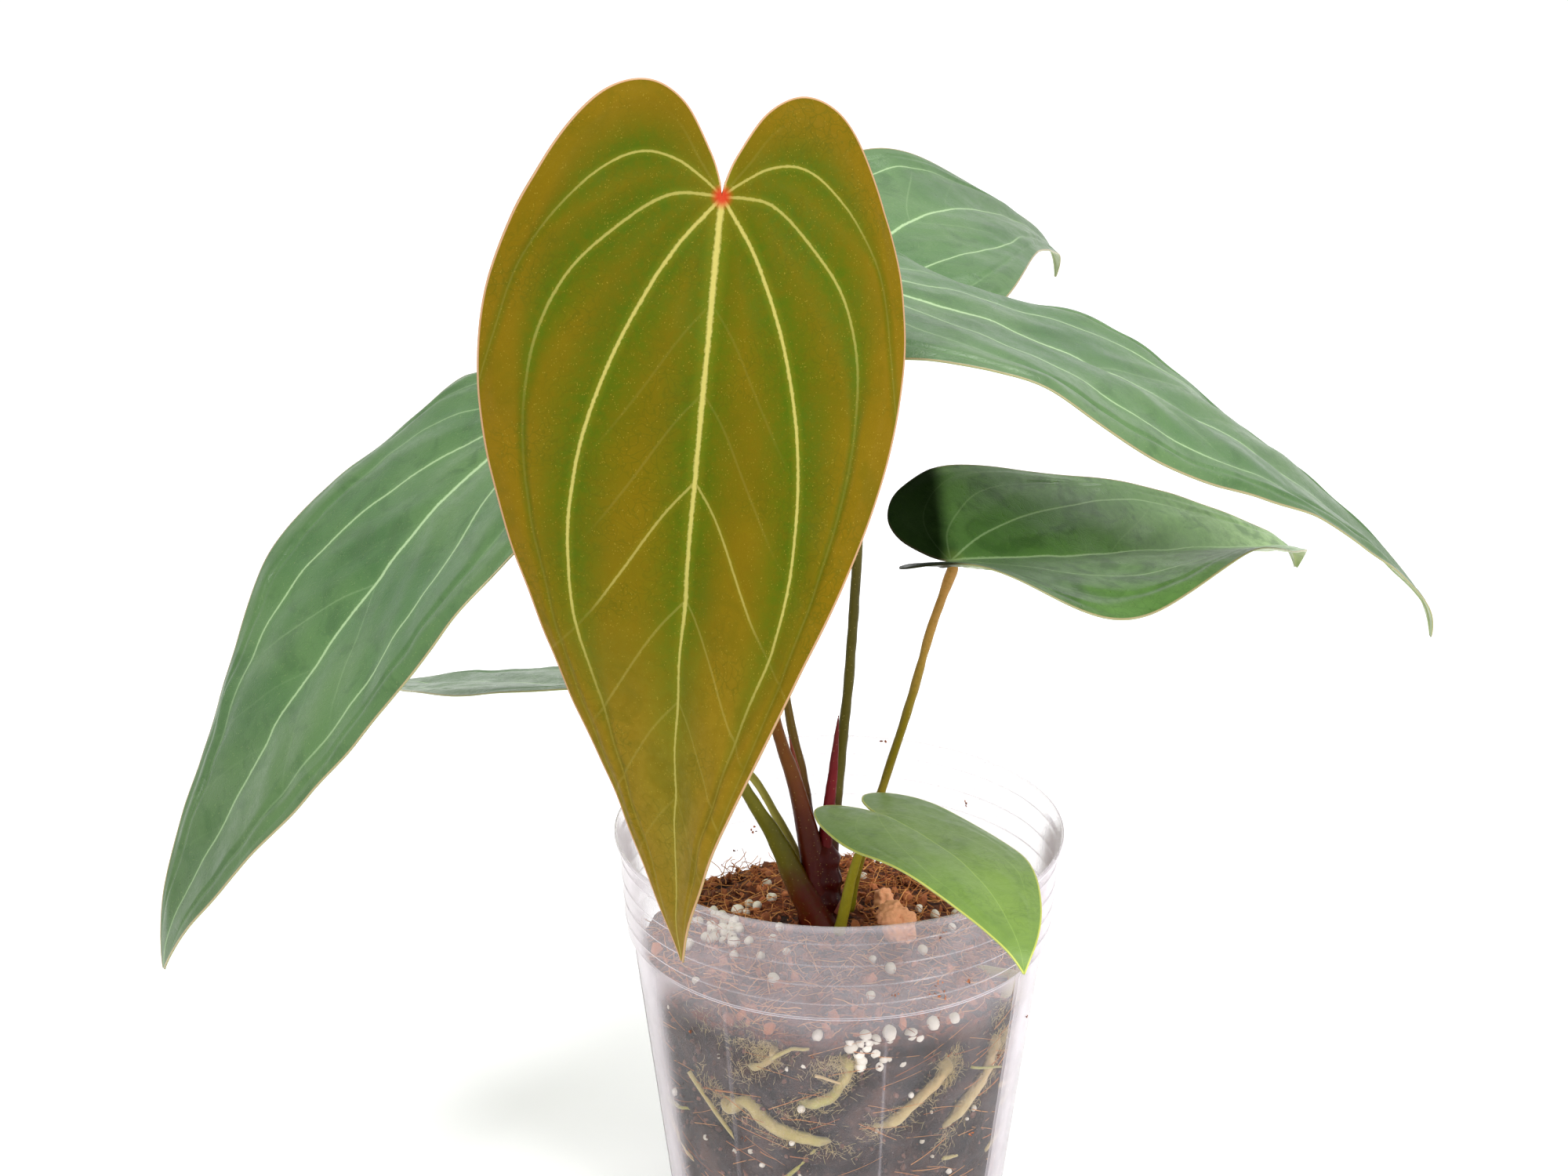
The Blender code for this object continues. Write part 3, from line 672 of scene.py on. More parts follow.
bladeFinishes = {
    "blade_mid_right": bladeMaterial("shadedVelvet", midLook),
    "blade_front": bladeMaterial("bronzeVelvet", bronzeLook),
    "blade_small": bladeMaterial("youngLeaf", smallLook),
}
greenFinish = bladeMaterial("greenVelvet", greenLook)
for name, design in bladeDesigns.items():
    blade = makeBlade(name, design)
    blade.data.materials.append(bladeFinishes.get(name, greenFinish))
    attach(blade, "root")
    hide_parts(name)
print("blades made")


# tubes: stalks, roots, scales

def makeTube(name, course, radii, sides):
    # a round-ended tube along a course in mm
    deselectAll()
    bpy.ops.curve.primitive_nurbs_path_add(location=(0, 0, 0))
    tube = bpy.context.object
    tube.name = name
    curve = tube.data
    curve.splines.clear()
    curve.dimensions = "3D"
    curve.bevel_depth = mm
    curve.bevel_resolution = sides
    curve.use_fill_caps = True
    spline = curve.splines.new("POLY")
    spline.points.add(len(course) - 1)
    for point, place, radius in zip(spline.points, course, radii):
        point.co = (*(np.array(place) * mm), 1)
        point.radius = radius
    bpy.ops.object.convert(target="MESH")
    tube = bpy.context.object
    mergeByDistance(tube, 0.000004)
    places = vertexPlaces(tube) / mm
    along = np.zeros(len(places))
    nearest = np.full(len(places), 1e9)
    for index, place in enumerate(course):
        distance = np.linalg.norm(places - place, axis=1)
        along = np.where(distance < nearest, index / (len(course) - 1), along)
        nearest = np.minimum(nearest, distance)
    setFloatAttribute(tube, "along", along)
    bpy.ops.object.shade_smooth()
    return tube


def ruffleSurface(tube, amount, size, seed=0.0):
    # pushes a surface in and out by noise, in mm
    places = vertexPlaces(tube)
    normals = np.empty(len(places) * 3)
    tube.data.vertices.foreach_get("normal", normals)
    push = noiseAt(places / mm, size, seed)[:, None] * normals.reshape(-1, 3)
    setVertexPlaces(tube, places + push * amount * mm)


def stalkMaterial(name, base, middle, top, roughness=0.38, turning=(0.05, 0.40)):
    material, tree, shader = newMaterial(name)
    place = objectPlace(tree)
    along = attributeOut(tree, "along")
    wander = mathOut(tree, "MULTIPLY_ADD", noiseOut(tree, place, 90, 3), 0.16, along)
    wander = mathOut(tree, "SUBTRACT", wander, 0.08)
    colour = mixOut(tree, rangeOut(tree, wander, *turning, 0, 1), base, middle)
    colour = mixOut(tree, rangeOut(tree, wander, 0.5, 1.0, 0, 1), colour, top)
    streaks = noiseOut(tree, place, 900, 4, 0.7)
    darker = tuple(c * 0.55 for c in middle[:3]) + (1,)
    colour = mixOut(tree, rangeOut(tree, streaks, 0.45, 0.75, 0, 0.35), colour, darker)
    flecks = rangeOut(tree, cellOut(tree, place, 900), 0.08, 0.18, 0.35, 0)
    colour = mixOut(tree, flecks, colour, srgb(176, 160, 96))
    tree.links.new(colour, shader.inputs["Base Color"])
    rough = rangeOut(tree, streaks, 0.3, 0.7, roughness - 0.08, roughness + 0.12)
    tree.links.new(rough, shader.inputs["Roughness"])
    shader.inputs["Specular IOR Level"].default_value = 0.18
    bumpInto(tree, shader, streaks, 0.3, 0.0002)
    return material


# each stalk: its blade, radius at the crown, in the middle and at the blade, how many mm of it the sheath
# covers, where along it the base colour turns, its course up from the crown, and its colours at the crown,
# half way and at the blade
stalkDesigns = {
    "petiole_1": dict(blade="blade_front", radii=(4.9, 1.6, 1.5), sheath=62, turning=(0.06, 0.34), course=[
        (-4.6, -5.0, 82), (-5.4, -5.2, 91), (-6.5, -5.5, 98), (-8.0, -6.0, 108), (-12, -7, 126),
        (-17, -9, 144), (-24, -14, 180), (-30, -22, 225), (-33, -34, 265), (-32, -48, 287)],
        colours=(srgb(70, 6, 2), srgb(104, 62, 4), srgb(140, 122, 30))),
    "petiole_2": dict(blade="blade_left", radii=(6.2, 1.7, 1.3), sheath=56, turning=(0.10, 0.26), course=[
        (-1.6, -7.0, 74), (-3.6, -7.4, 81), (-7, -7.4, 89), (-12.0, -8.3, 99), (-17, -10, 111),
        (-26, -14, 129), (-40, -15, 158), (-58, -8, 190), (-71, 2, 210)],
        colours=(srgb(78, 16, 2), srgb(92, 88, 8), srgb(128, 128, 40))),
    "petiole_3": dict(blade="blade_back_left", radii=(1.6, 1.0, 1.0), course=[
        (-9.5, 0, 97), (-13, 1.5, 104), (-17, 2, 112), (-23, 4, 122), (-34, 14, 130), (-44, 23, 134)],
        colours=(srgb(150, 132, 70), srgb(150, 142, 62), srgb(140, 140, 60))),
    "petiole_4": dict(blade="blade_back_right", radii=(3.0, 1.15, 1.2), sheath=50, turning=(0.08, 0.30),
        course=[(-6.0, -1.5, 90), (-7.5, 0, 103), (-8.5, 1.0, 112), (-10, 1.8, 124), (-14, 6, 145),
                (-15, 16, 175), (-10, 36, 210), (-3, 53, 231)],
        colours=(srgb(78, 12, 4), srgb(92, 70, 14), srgb(128, 122, 40))),
    "petiole_5": dict(blade="blade_right", radii=(4.6, 1.35, 1.4), sheath=60, turning=(0.08, 0.24), course=[
        (-4.8, -3.5, 84), (-4.2, -2.6, 92), (-3.6, -2, 100), (-2.4, -1.2, 110), (-1, 0, 121),
        (2, 4, 146), (4, 6, 177), (5, 4, 215), (3, -1, 248)],
        colours=(srgb(68, 6, 2), srgb(78, 70, 4), srgb(104, 98, 14))),
    "petiole_6": dict(blade="blade_mid_right", radii=(1.7, 1.15, 1.2), course=[
        (2.5, -2.5, 86), (4.5, -2, 96), (7, -2, 106), (14, -4, 132), (19, -6, 151), (23, -7, 168),
        (27, -7, 181)],
        colours=(srgb(112, 108, 8), srgb(120, 104, 12), srgb(176, 128, 62))),
    "petiole_7": dict(blade="blade_small", radii=(1.7, 1.25, 1.1), course=[
        (-0.5, -10.5, 82), (0.8, -12.5, 88), (3, -16, 102), (5.5, -20.5, 113), (8, -25, 120.5)],
        colours=(srgb(152, 142, 44), srgb(150, 140, 34), srgb(140, 136, 40))),
}
jointSwelling = 1.22

for name, design in stalkDesigns.items():
    bladeDesign = bladeDesigns[design["blade"]]
    joint = bladePoints(bladeDesign, np.array([0.0]), np.array([0.004]))[0]
    under = bladeAxes(bladeDesign, np.array([0.004]))[1][0]
    path = smoothCurve(design["course"] + [tuple(joint - under * 2.6), tuple(joint - under * 0.35)], 10)
    path = evenCurve(path, 110)
    share = np.linspace(0, 1, len(path))
    length = np.linalg.norm(np.diff(path, axis=0), axis=1).sum()
    base, middle, end = design["radii"]
    sheathLeft = (1 - share * length / design.get("sheath", 26)).clip(0, 1)
    radii = middle + (base - middle) * sheathLeft ** 1.5 + (end - middle) * share ** 3
    radii *= 1 + (jointSwelling - 1) * smoothStep(1 - 11 / length, 1 - 6 / length, share)
    radii *= 1 - 0.25 * smoothStep(1 - 2.5 / length, 1, share)
    stalk = makeTube(name + "_stalk", path, radii, 8)
    ruffleSurface(stalk, 0.22, 5.0, len(name) + base)
    turning = design.get("turning", (0.0, 0.2))
    stalk.data.materials.append(stalkMaterial(name + "Skin", *design["colours"], turning=turning))
    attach(stalk, "root")
    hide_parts(name)
print("stalks made")


# crown and scales

crownDesign = dict(centre=(-4.6, -4.4), bottom=62.0, profile=[
    (0.2, 0), (3.2, 1.0), (4.6, 8), (5.8, 14), (6.6, 18), (6.5, 23), (5.4, 29), (4.9, 34),
    (4.4, 39), (3.6, 43), (2.0, 45.2), (0.2, 45.6)], flare=0.10)

crown, turn, climb = addGrid("crown_stem", 48, 70)
crownCurve = evenCurve(smoothCurve(crownDesign["profile"], 8), 200)
crownRadius = np.interp(climb, np.linspace(0, 1, 200), crownCurve[:, 0])
crownHeight = np.interp(climb, np.linspace(0, 1, 200), crownCurve[:, 1])
crownAngle = 2 * np.pi * turn
# leaf scars run round the stem as slanting ledges
ledge = 0.35 * np.sin(2 * np.pi * (crownHeight / 6.5) + crownAngle) * np.clip(crownRadius / 4, 0, 1)
oval = 1 + crownDesign["flare"] * np.cos(2 * crownAngle) * smoothStep(20, 40, crownHeight)
spread = (crownRadius + ledge) * oval
crownPlaces = np.stack([crownDesign["centre"][0] + spread * np.cos(crownAngle),
                        crownDesign["centre"][1] + spread * np.sin(crownAngle),
                        crownDesign["bottom"] + crownHeight], -1)
crownPlaces[climb < 1e-6] = (*crownDesign["centre"], crownDesign["bottom"])
crownPlaces[climb > 1 - 1e-6] = (*crownDesign["centre"], crownDesign["bottom"] + crownCurve[-1, 1])
setVertexPlaces(crown, crownPlaces * mm)
mergeByDistance(crown)
crownClimb = vertexPlaces(crown)[:, 2] / mm - crownDesign["bottom"]
setFloatAttribute(crown, "along", np.clip(crownClimb / 50, 0, 1))
ruffleSurface(crown, 0.5, 3.5)
bpy.ops.object.shade_smooth()
crown.data.materials.append(stalkMaterial("crownSkin", srgb(26, 1, 0), srgb(54, 2, 1), srgb(72, 5, 2), 0.34))
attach(crown, "root")
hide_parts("crown")

# each scale: course from its foot to its tip, width in mm, colours from foot to tip
scaleDesigns = {
    "cataphyll_1": dict(course=[(-6.6, -5.6, 103), (-8.8, -4.4, 113), (-11, -3.6, 125), (-13.3, -3.4, 137)],
                        width=3.0, colours=(srgb(96, 14, 10), srgb(112, 44, 20), srgb(120, 52, 34))),
    "cataphyll_2": dict(course=[(-3.8, -5.6, 101), (-3.4, -5.6, 111), (-1.8, -4.6, 127), (-0.4, -3.2, 143)],
                        width=3.4, colours=(srgb(92, 8, 10), srgb(104, 12, 20), srgb(96, 30, 28))),
    "cataphyll_3": dict(course=[(-0.5, -9.2, 88), (1.6, -9.0, 92), (2.7, -8.8, 97), (3.0, -8.8, 101.5)],
                        width=2.4, colours=(srgb(120, 60, 44), srgb(196, 140, 128), srgb(206, 160, 146))),
}


def makeScale(name, design):
    # a thin pointed half tube wrapped round its course
    sheet, across, up = addGrid(name + "_scale", 18, 40)
    path = evenCurve(smoothCurve(design["course"], 10), 60)
    onPath = np.linspace(0, 1, 60)
    place = np.stack([np.interp(up, onPath, path[:, axis]) for axis in range(3)], -1)
    ahead = np.stack([np.interp(np.clip(up + 0.02, 0, 1), onPath, path[:, axis])
                      - np.interp(np.clip(up - 0.02, 0, 1), onPath, path[:, axis]) for axis in range(3)], -1)
    ahead /= np.linalg.norm(ahead, axis=1, keepdims=True)
    outward = np.array([0.0, -1.0, 0.0])
    side = np.cross(ahead, outward)
    side /= np.linalg.norm(side, axis=1, keepdims=True)
    front = np.cross(side, ahead)
    radius = 0.5 * design["width"] * (1 - up ** 2.2) ** 0.8 + 0.05
    angle = (across - 0.5) * math.radians(170)
    places = place + side * (radius * np.sin(angle))[:, None]
    places = places + front * (radius * (np.cos(angle) - 0.5))[:, None]
    setVertexPlaces(sheet, places * mm)
    setFloatAttribute(sheet, "along", up)
    thicken(sheet, 0.25)
    makeActive(sheet)
    bpy.ops.object.mode_set(mode="EDIT")
    bpy.ops.mesh.select_all(action="SELECT")
    bpy.ops.mesh.normals_make_consistent(inside=False)
    bpy.ops.object.mode_set(mode="OBJECT")
    bpy.ops.object.shade_smooth()
    return sheet


for name, design in scaleDesigns.items():
    scale = makeScale(name, design)
    ruffleSurface(scale, 0.12, 2.0)
    scale.data.materials.append(stalkMaterial(name + "Skin", *design["colours"], roughness=0.5))
    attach(scale, "root")
    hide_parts(name)
print("crown made")


# pot

mixGap = 0.35  # between the mix and the wall
wallRadius = 54  # about what the wall measures from the axis, where a step along it becomes an angle
potDesign = dict(height=110.0, rimRadius=60.0, bandRadius=58.8, stepHeight=82.0, stepRadius=57.0,
                 lowerRadius=55.8, baseRadius=45.5, wall=0.8, floor=1.3, rings=[104.5, 98.2, 92.4, 86.9],
                 creases=8, firstCrease=12.0, drains=8, drainCircle=30.0, drainRadius=3.5)


def potOutside(height):
    # outer radius of the wall at a height
    p = potDesign
    aboveStep = (height - p["stepHeight"]) / (p["height"] - p["stepHeight"])
    band = between((p["stepRadius"], p["bandRadius"]), aboveStep)
    lower = p["baseRadius"] + (p["lowerRadius"] - p["baseRadius"]) * height / p["stepHeight"]
    blend = smoothStep(p["stepHeight"] - 0.9, p["stepHeight"] + 0.5, height)
    return lower + (band - lower) * blend


def potInside(height):
    return potOutside(height) - potDesign["wall"]


def makePot():
    p = potDesign
    heights = [0.0, 0.25, 0.8, 1.6, 3]
    heights += list(np.arange(6, p["stepHeight"] - 2, 4.0))
    heights += list(np.linspace(p["stepHeight"] - 1.6, p["stepHeight"] + 1.2, 9))
    for ring in p["rings"]:
        heights += [ring + shift for shift in (-2.0, -0.55, -0.35, -0.15, 0.0, 0.15, 0.35, 0.55, 2.0)]
    heights += [p["height"] - 3.2, p["height"] - 2.9]
    heights = np.array(sorted(heights))
    # painted light: the rings, the step, the rolled lip and the creases are made whiter, for the light these
    # bends of the clear wall catch
    paintedBendLight = np.zeros(len(heights))
    outer = potOutside(heights)
    for ring in p["rings"]:
        bead = np.exp(-((heights - ring) / 0.24) ** 2)
        outer = outer + 0.24 * bead
        paintedBendLight = np.maximum(paintedBendLight, bead)
    paintedBendLight = np.maximum(paintedBendLight, np.exp(-((heights - p["stepHeight"] - 0.2) / 0.35) ** 2) * 0.45)
    outer = np.where(heights < 0.8, outer - 0.8 + np.sqrt(np.clip(0.64 - (0.8 - heights) ** 2, 0, 1)), outer)
    # profile: up the outside, over the rolled lip, down the inside, across the floor
    lip = [(p["rimRadius"] - 0.75, p["height"] - 2.2), (p["rimRadius"] - 0.2, p["height"] - 1.5),
           (p["rimRadius"], p["height"] - 0.9), (p["rimRadius"], p["height"] - 0.35),
           (p["rimRadius"] - 0.15, p["height"] - 0.08), (p["rimRadius"] - 0.4, p["height"]),
           (p["rimRadius"] - 0.7, p["height"] - 0.08), (p["rimRadius"] - 0.9, p["height"] - 0.4),
           (p["rimRadius"] - 1.2, p["height"] - 1.4)]
    insideHeights = np.array([107, 100, 92, 84, 83, 82.4, 81.8, 81, 70, 56, 42, 28, 14, 5, 2.2])
    profile = [(0.0, 0.0), (12.0, 0.0), (26.0, 0.0), (34.0, 0.0), (p["baseRadius"] - 1.2, 0.0)]
    paintedBendLightList = [0.2] * len(profile)
    profile += list(zip(outer, heights))
    paintedBendLightList += list(paintedBendLight)
    profile += lip
    paintedBendLightList += [0.1, 0.3, 0.5, 0.7, 0.8, 0.8, 0.6, 0.3, 0.1]
    profile += list(zip(potInside(insideHeights), insideHeights))
    paintedBendLightList += [0.0] * len(insideHeights)
    inner = p["baseRadius"] - p["wall"]
    profile += [(inner - 0.3, p["floor"] + 0.25), (inner - 1.0, p["floor"]), (34.0, p["floor"]),
                (26.0, p["floor"]), (12.0, p["floor"]), (0.0, p["floor"])]
    paintedBendLightList += [0.2] * 6
    profile = np.array(profile)
    paintedBendLightList = np.array(paintedBendLightList)

    # angles: even steps, with close ones at each crease so that it is a sharp line
    angles = list(np.arange(0, 360, 2.5))
    for index in range(p["creases"]):
        middle = p["firstCrease"] + 360 / p["creases"] * index
        angles = [a for a in angles if abs((a - middle + 180) % 360 - 180) > 1.3]
        angles += [middle + shift for shift in (-0.9, -0.45, -0.2, 0.0, 0.2, 0.45, 0.9)]
    angles = np.array(sorted(a % 360 for a in angles))
    columns, rows = len(angles), len(profile) - 1
    pot, turn, climb = addGrid("pot_shell", columns, rows)
    column = np.rint(turn * columns).astype(int)
    row = np.rint(climb * rows).astype(int)
    angle = np.append(angles, angles[0] + 360)[column]
    radius, height = profile[row, 0].copy(), profile[row, 1]
    crease = np.zeros(len(angle))
    for index in range(p["creases"]):
        middle = p["firstCrease"] + 360 / p["creases"] * index
        away = (angle - middle + 180) % 360 - 180
        crease = np.maximum(crease, np.exp(-(away / 0.32) ** 2))
    wallShare = smoothStep(1.0, 4.0, height)
    wallShare *= 1 - smoothStep(p["stepHeight"] - 3, p["stepHeight"] - 1.5, height)
    wallShare *= radius > p["baseRadius"] - 2
    radius += 0.22 * crease * wallShare
    # the wall between the creases is very slightly slack
    slack = np.cos(np.radians((angle - p["firstCrease"]) * p["creases"]))
    radius -= 0.10 * (1 - slack) * wallShare * smoothStep(5, 40, height)
    bearing = np.radians(angle - 90)
    places = np.stack([radius * np.cos(bearing), radius * np.sin(bearing), height], -1)
    setVertexPlaces(pot, places * mm)
    setFloatAttribute(pot, "paintedBendLight", np.maximum(paintedBendLightList[row], crease * wallShare * 0.55))
    setFloatAttribute(pot, "haze", smoothStep(69, 80, height))
    mergeByDistance(pot, 0.00002)

    # drainage holes through the floor, as one cutter
    deselectAll()
    drains = []
    for index in range(p["drains"]):
        turned = 2 * math.pi * index / p["drains"]
        place = (p["drainCircle"] * mm * math.cos(turned), p["drainCircle"] * mm * math.sin(turned), 0)
        bpy.ops.mesh.primitive_cylinder_add(
            vertices=32, radius=p["drainRadius"] * mm, depth=0.006, location=place)
        drains.append(bpy.context.object)
    for drain in drains:
        drain.select_set(True)
    bpy.context.view_layer.objects.active = drains[0]
    bpy.ops.object.join()
    cutter = bpy.context.object
    cut = pot.modifiers.new("drains", "BOOLEAN")
    cut.object = cutter
    cut.operation = "DIFFERENCE"
    applyModifiers(pot)
    bpy.data.objects.remove(cutter)
    makeActive(pot)
    bpy.ops.object.shade_smooth_by_angle(angle=math.radians(40))
    return pot


def potMaterial():
    material, tree, shader = newMaterial("clearPlastic")
    place = objectPlace(tree)
    paintedBendLight = attributeOut(tree, "paintedBendLight")
    weight = addNode(tree, "ShaderNodeLayerWeight")
    weight.inputs["Blend"].default_value = 0.5
    cloud = noiseOut(tree, place, 60, 4, 0.6)
    scuff = noiseOut(tree, place, 1200, 3, 0.7)
    dust = rangeOut(tree, cellOut(tree, place, 420), 0.04, 0.12, 0.5, 0)
    shader.inputs["Roughness"].default_value = 0.28
    tint = mixOut(tree, rangeOut(tree, cloud, 0.3, 0.7, 0, 1), srgb(206, 198, 203), srgb(222, 214, 220))
    tree.links.new(tint, shader.inputs["Base Color"])
    shader.inputs["Specular IOR Level"].default_value = 0.1
    # how much of the milky plastic shows over what is behind it; the whiter wall seen edge-on and the whiter
    # bends in it are painted light
    haze = attributeOut(tree, "haze")
    # painted light: the wall is whiter where it is seen edge-on, for the light the clear wall bends towards
    # the eye
    paintedEdgeLight = rangeOut(tree, weight.outputs["Facing"], 0.60, 0.80, 0, 0.66)
    milky = mathOut(tree, "MULTIPLY_ADD", rangeOut(tree, cloud, 0.3, 0.7, 0, 1), 0.035, 0.012)
    milky = mathOut(tree, "MULTIPLY_ADD", haze, 0.13, milky)
    # painted light at the bends
    milky = mathOut(tree, "MULTIPLY_ADD", paintedBendLight, 0.21, milky)
    milky = mathOut(tree, "MULTIPLY_ADD", rangeOut(tree, scuff, 0.58, 0.75, 0, 1), 0.10, milky)
    milky = mathOut(tree, "MULTIPLY_ADD", dust, 0.35, milky)
    milky = mathOut(tree, "ADD", milky, paintedEdgeLight, clamp=True)
    through = addNode(tree, "ShaderNodeBsdfTransparent")
    through.inputs["Color"].default_value = (0.985, 0.98, 0.985, 1)
    body = addNode(tree, "ShaderNodeMixShader")
    tree.links.new(milky, body.inputs[0])
    tree.links.new(through.outputs[0], body.inputs[1])
    tree.links.new(shader.outputs[0], body.inputs[2])
    gloss = addNode(tree, "ShaderNodeBsdfGlossy")
    gloss.inputs["Roughness"].default_value = 0.16
    gloss.inputs["Color"].default_value = (1, 1, 1, 1)
    shine = mathOut(tree, "MULTIPLY_ADD", mathOut(tree, "POWER", weight.outputs["Facing"], 3.0), 0.10, 0.018)
    top = addNode(tree, "ShaderNodeMixShader")
    tree.links.new(shine, top.inputs[0])
    tree.links.new(body.outputs[0], top.inputs[1])
    tree.links.new(gloss.outputs[0], top.inputs[2])
    tree.links.new(top.outputs[0], tree.nodes["Material Output"].inputs["Surface"])
    bump = addNode(tree, "ShaderNodeBump")
    bump.inputs["Strength"].default_value = 0.12
    bump.inputs["Distance"].default_value = 0.0003
    tree.links.new(noiseOut(tree, place, 140, 2), bump.inputs["Height"])
    tree.links.new(bump.outputs[0], gloss.inputs["Normal"])
    return material


pot = makePot()
pot.data.materials.append(potMaterial())
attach(pot, "root")
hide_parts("pot")
print("pot made")


# root courses

# each root: radius, start at the crown, then (bearing from the front, height) along the wall, and how
# brown it is
rootDesigns = {
    "root_1": dict(radius=1.9, start=(-8.5, -11, 66), wall=[(2, 66), (0, 60), (-4, 55), (-12, 52), (-18, 51)],
                   tint=0.25),
    "root_2": dict(radius=2.4, start=(-13, -7, 64), wall=[(-38, 47), (-30, 50), (-22, 44), (-8, 41), (4, 40)],
                   tint=0.45),
    "root_3": dict(radius=2.0, start=(3, -6.5, 66), wall=[(34, 60), (28, 55), (20, 49), (12, 45), (5, 47)],
                   tint=0.9),
    "root_4": dict(radius=1.8, start=(3, 0, 68), wall=[(62, 78), (56, 74), (52, 68)], tint=0.3),
    "root_5": dict(radius=1.5, start=(-11, 1.5, 73), wall=[(-20, 68), (-26, 62), (-34, 59)], tint=0.8),
    "root_6": dict(radius=2.1, start=(2, 2, 63), wall=[(56, 60), (50, 50), (40, 43), (32, 34)], tint=1.0),
    "root_7": dict(radius=1.9, start=(-4, 4, 64), wall=[(176, 58), (168, 48), (178, 38), (190, 32)],
                   tint=0.6),
}


def wallPlace(bearingDeg, height, radius):
    return atBearing(math.radians(bearingDeg), float(potInside(height)) - radius - 0.2, height)


rootPaths = {}
for name, design in rootDesigns.items():
    course = [design["start"]] + [wallPlace(*spot, design["radius"]) for spot in design["wall"]]
    path = evenCurve(smoothCurve(course, 12), 90)
    limit = potInside(path[:, 2]) - design["radius"] - 0.2
    path[:, :2] *= np.minimum(1, limit / np.hypot(path[:, 0], path[:, 1]))[:, None]
    sink = 4.5 * smoothStep(0.86, 1.0, np.linspace(0, 1, len(path)))
    path[:, :2] *= (1 - sink / np.hypot(path[:, 0], path[:, 1]))[:, None]
    rootPaths[name] = path
rootPlaces = np.vstack([path[::3] for path in rootPaths.values()])


def awayFromRoots(places):
    # distance in mm to the nearest root's middle
    places = np.atleast_2d(np.array(places, dtype=float))
    nearest = np.full(len(places), 1e9)
    for spot in rootPlaces:
        nearest = np.minimum(nearest, np.linalg.norm(places - spot, axis=1))
    return nearest


# the mix

mixDesign = dict(edgeHeight=74.0, heap=9.5, fibres=1300, crumbs=900, wallCrumbs=1500, wallPerlite=95,
                 topPerlite=46, wallFibres=260)


def mixTop(x, y):
    away = np.minimum(1.0, np.hypot(x, y) / potInside(mixDesign["edgeHeight"]))
    return mixDesign["edgeHeight"] + mixDesign["heap"] * (1 - away ** 2)


def makeMix():
    # one closed lump: up the side against the wall, then in over the heaped top
    columns, rows = 260, 190
    mix, turn, climb = addGrid("mix_body", columns, rows)
    angle = 2 * np.pi * turn
    bottom = potDesign["floor"] + mixGap
    floorEnd, sideEnd = 0.08, 0.62  # where the underside and the side end, as shares of the rows
    side = climb < sideEnd
    top = ~side & (climb < 0.9999)
    sideShare = np.clip((climb - floorEnd) / (sideEnd - floorEnd), 0, 1)
    height = bottom + (mixDesign["edgeHeight"] - bottom) * sideShare
    radius = (potInside(height) - mixGap) * np.clip(climb / floorEnd, 0, 1)
    topShare = np.clip((1 - climb) / (1 - sideEnd), 0, 1)
    topRadius = (potInside(mixDesign["edgeHeight"]) - mixGap) * topShare
    radius = np.where(side, radius, topRadius)
    x, y = radius * np.cos(angle), radius * np.sin(angle)
    height = np.where(side, height, mixTop(x, y))
    places = np.stack([x, y, height], -1)
    rough = noiseAt(places, 5.0) * 1.5 + noiseAt(places, 1.7, 5.0) * 0.9
    lumps = noiseAt(places, 11.0, 9.0)
    inward = np.clip(0.7 + rough * 0.8 + np.clip(lumps, 0, 1) * 1.6, 0, 3.2)
    inward += 3.4 * smoothStep(6.0, 2.6, awayFromRoots(places))
    wallPart = side & (climb > floorEnd)
    shrink = np.where(wallPart, 1 - inward / np.maximum(radius, 1), 1)
    places[:, 0] *= shrink
    places[:, 1] *= shrink
    places[:, 2] += np.where(top, rough * 0.8 + lumps * 1.2 - 0.6, 0) * smoothStep(0, 0.05, topShare)
    places[climb < 1e-6] = (0, 0, bottom)
    places[climb > 1 - 1e-6] = (0, 0, mixDesign["edgeHeight"] + mixDesign["heap"] - 1)
    setVertexPlaces(mix, places * mm)
    mergeByDistance(mix, 0.00001)
    made = vertexPlaces(mix) / mm
    setFloatAttribute(mix, "wet", smoothStep(1.2, -1.5, made[:, 2] - mixDesign["edgeHeight"] + 2.0))
    smoothShade(mix)
    return mix


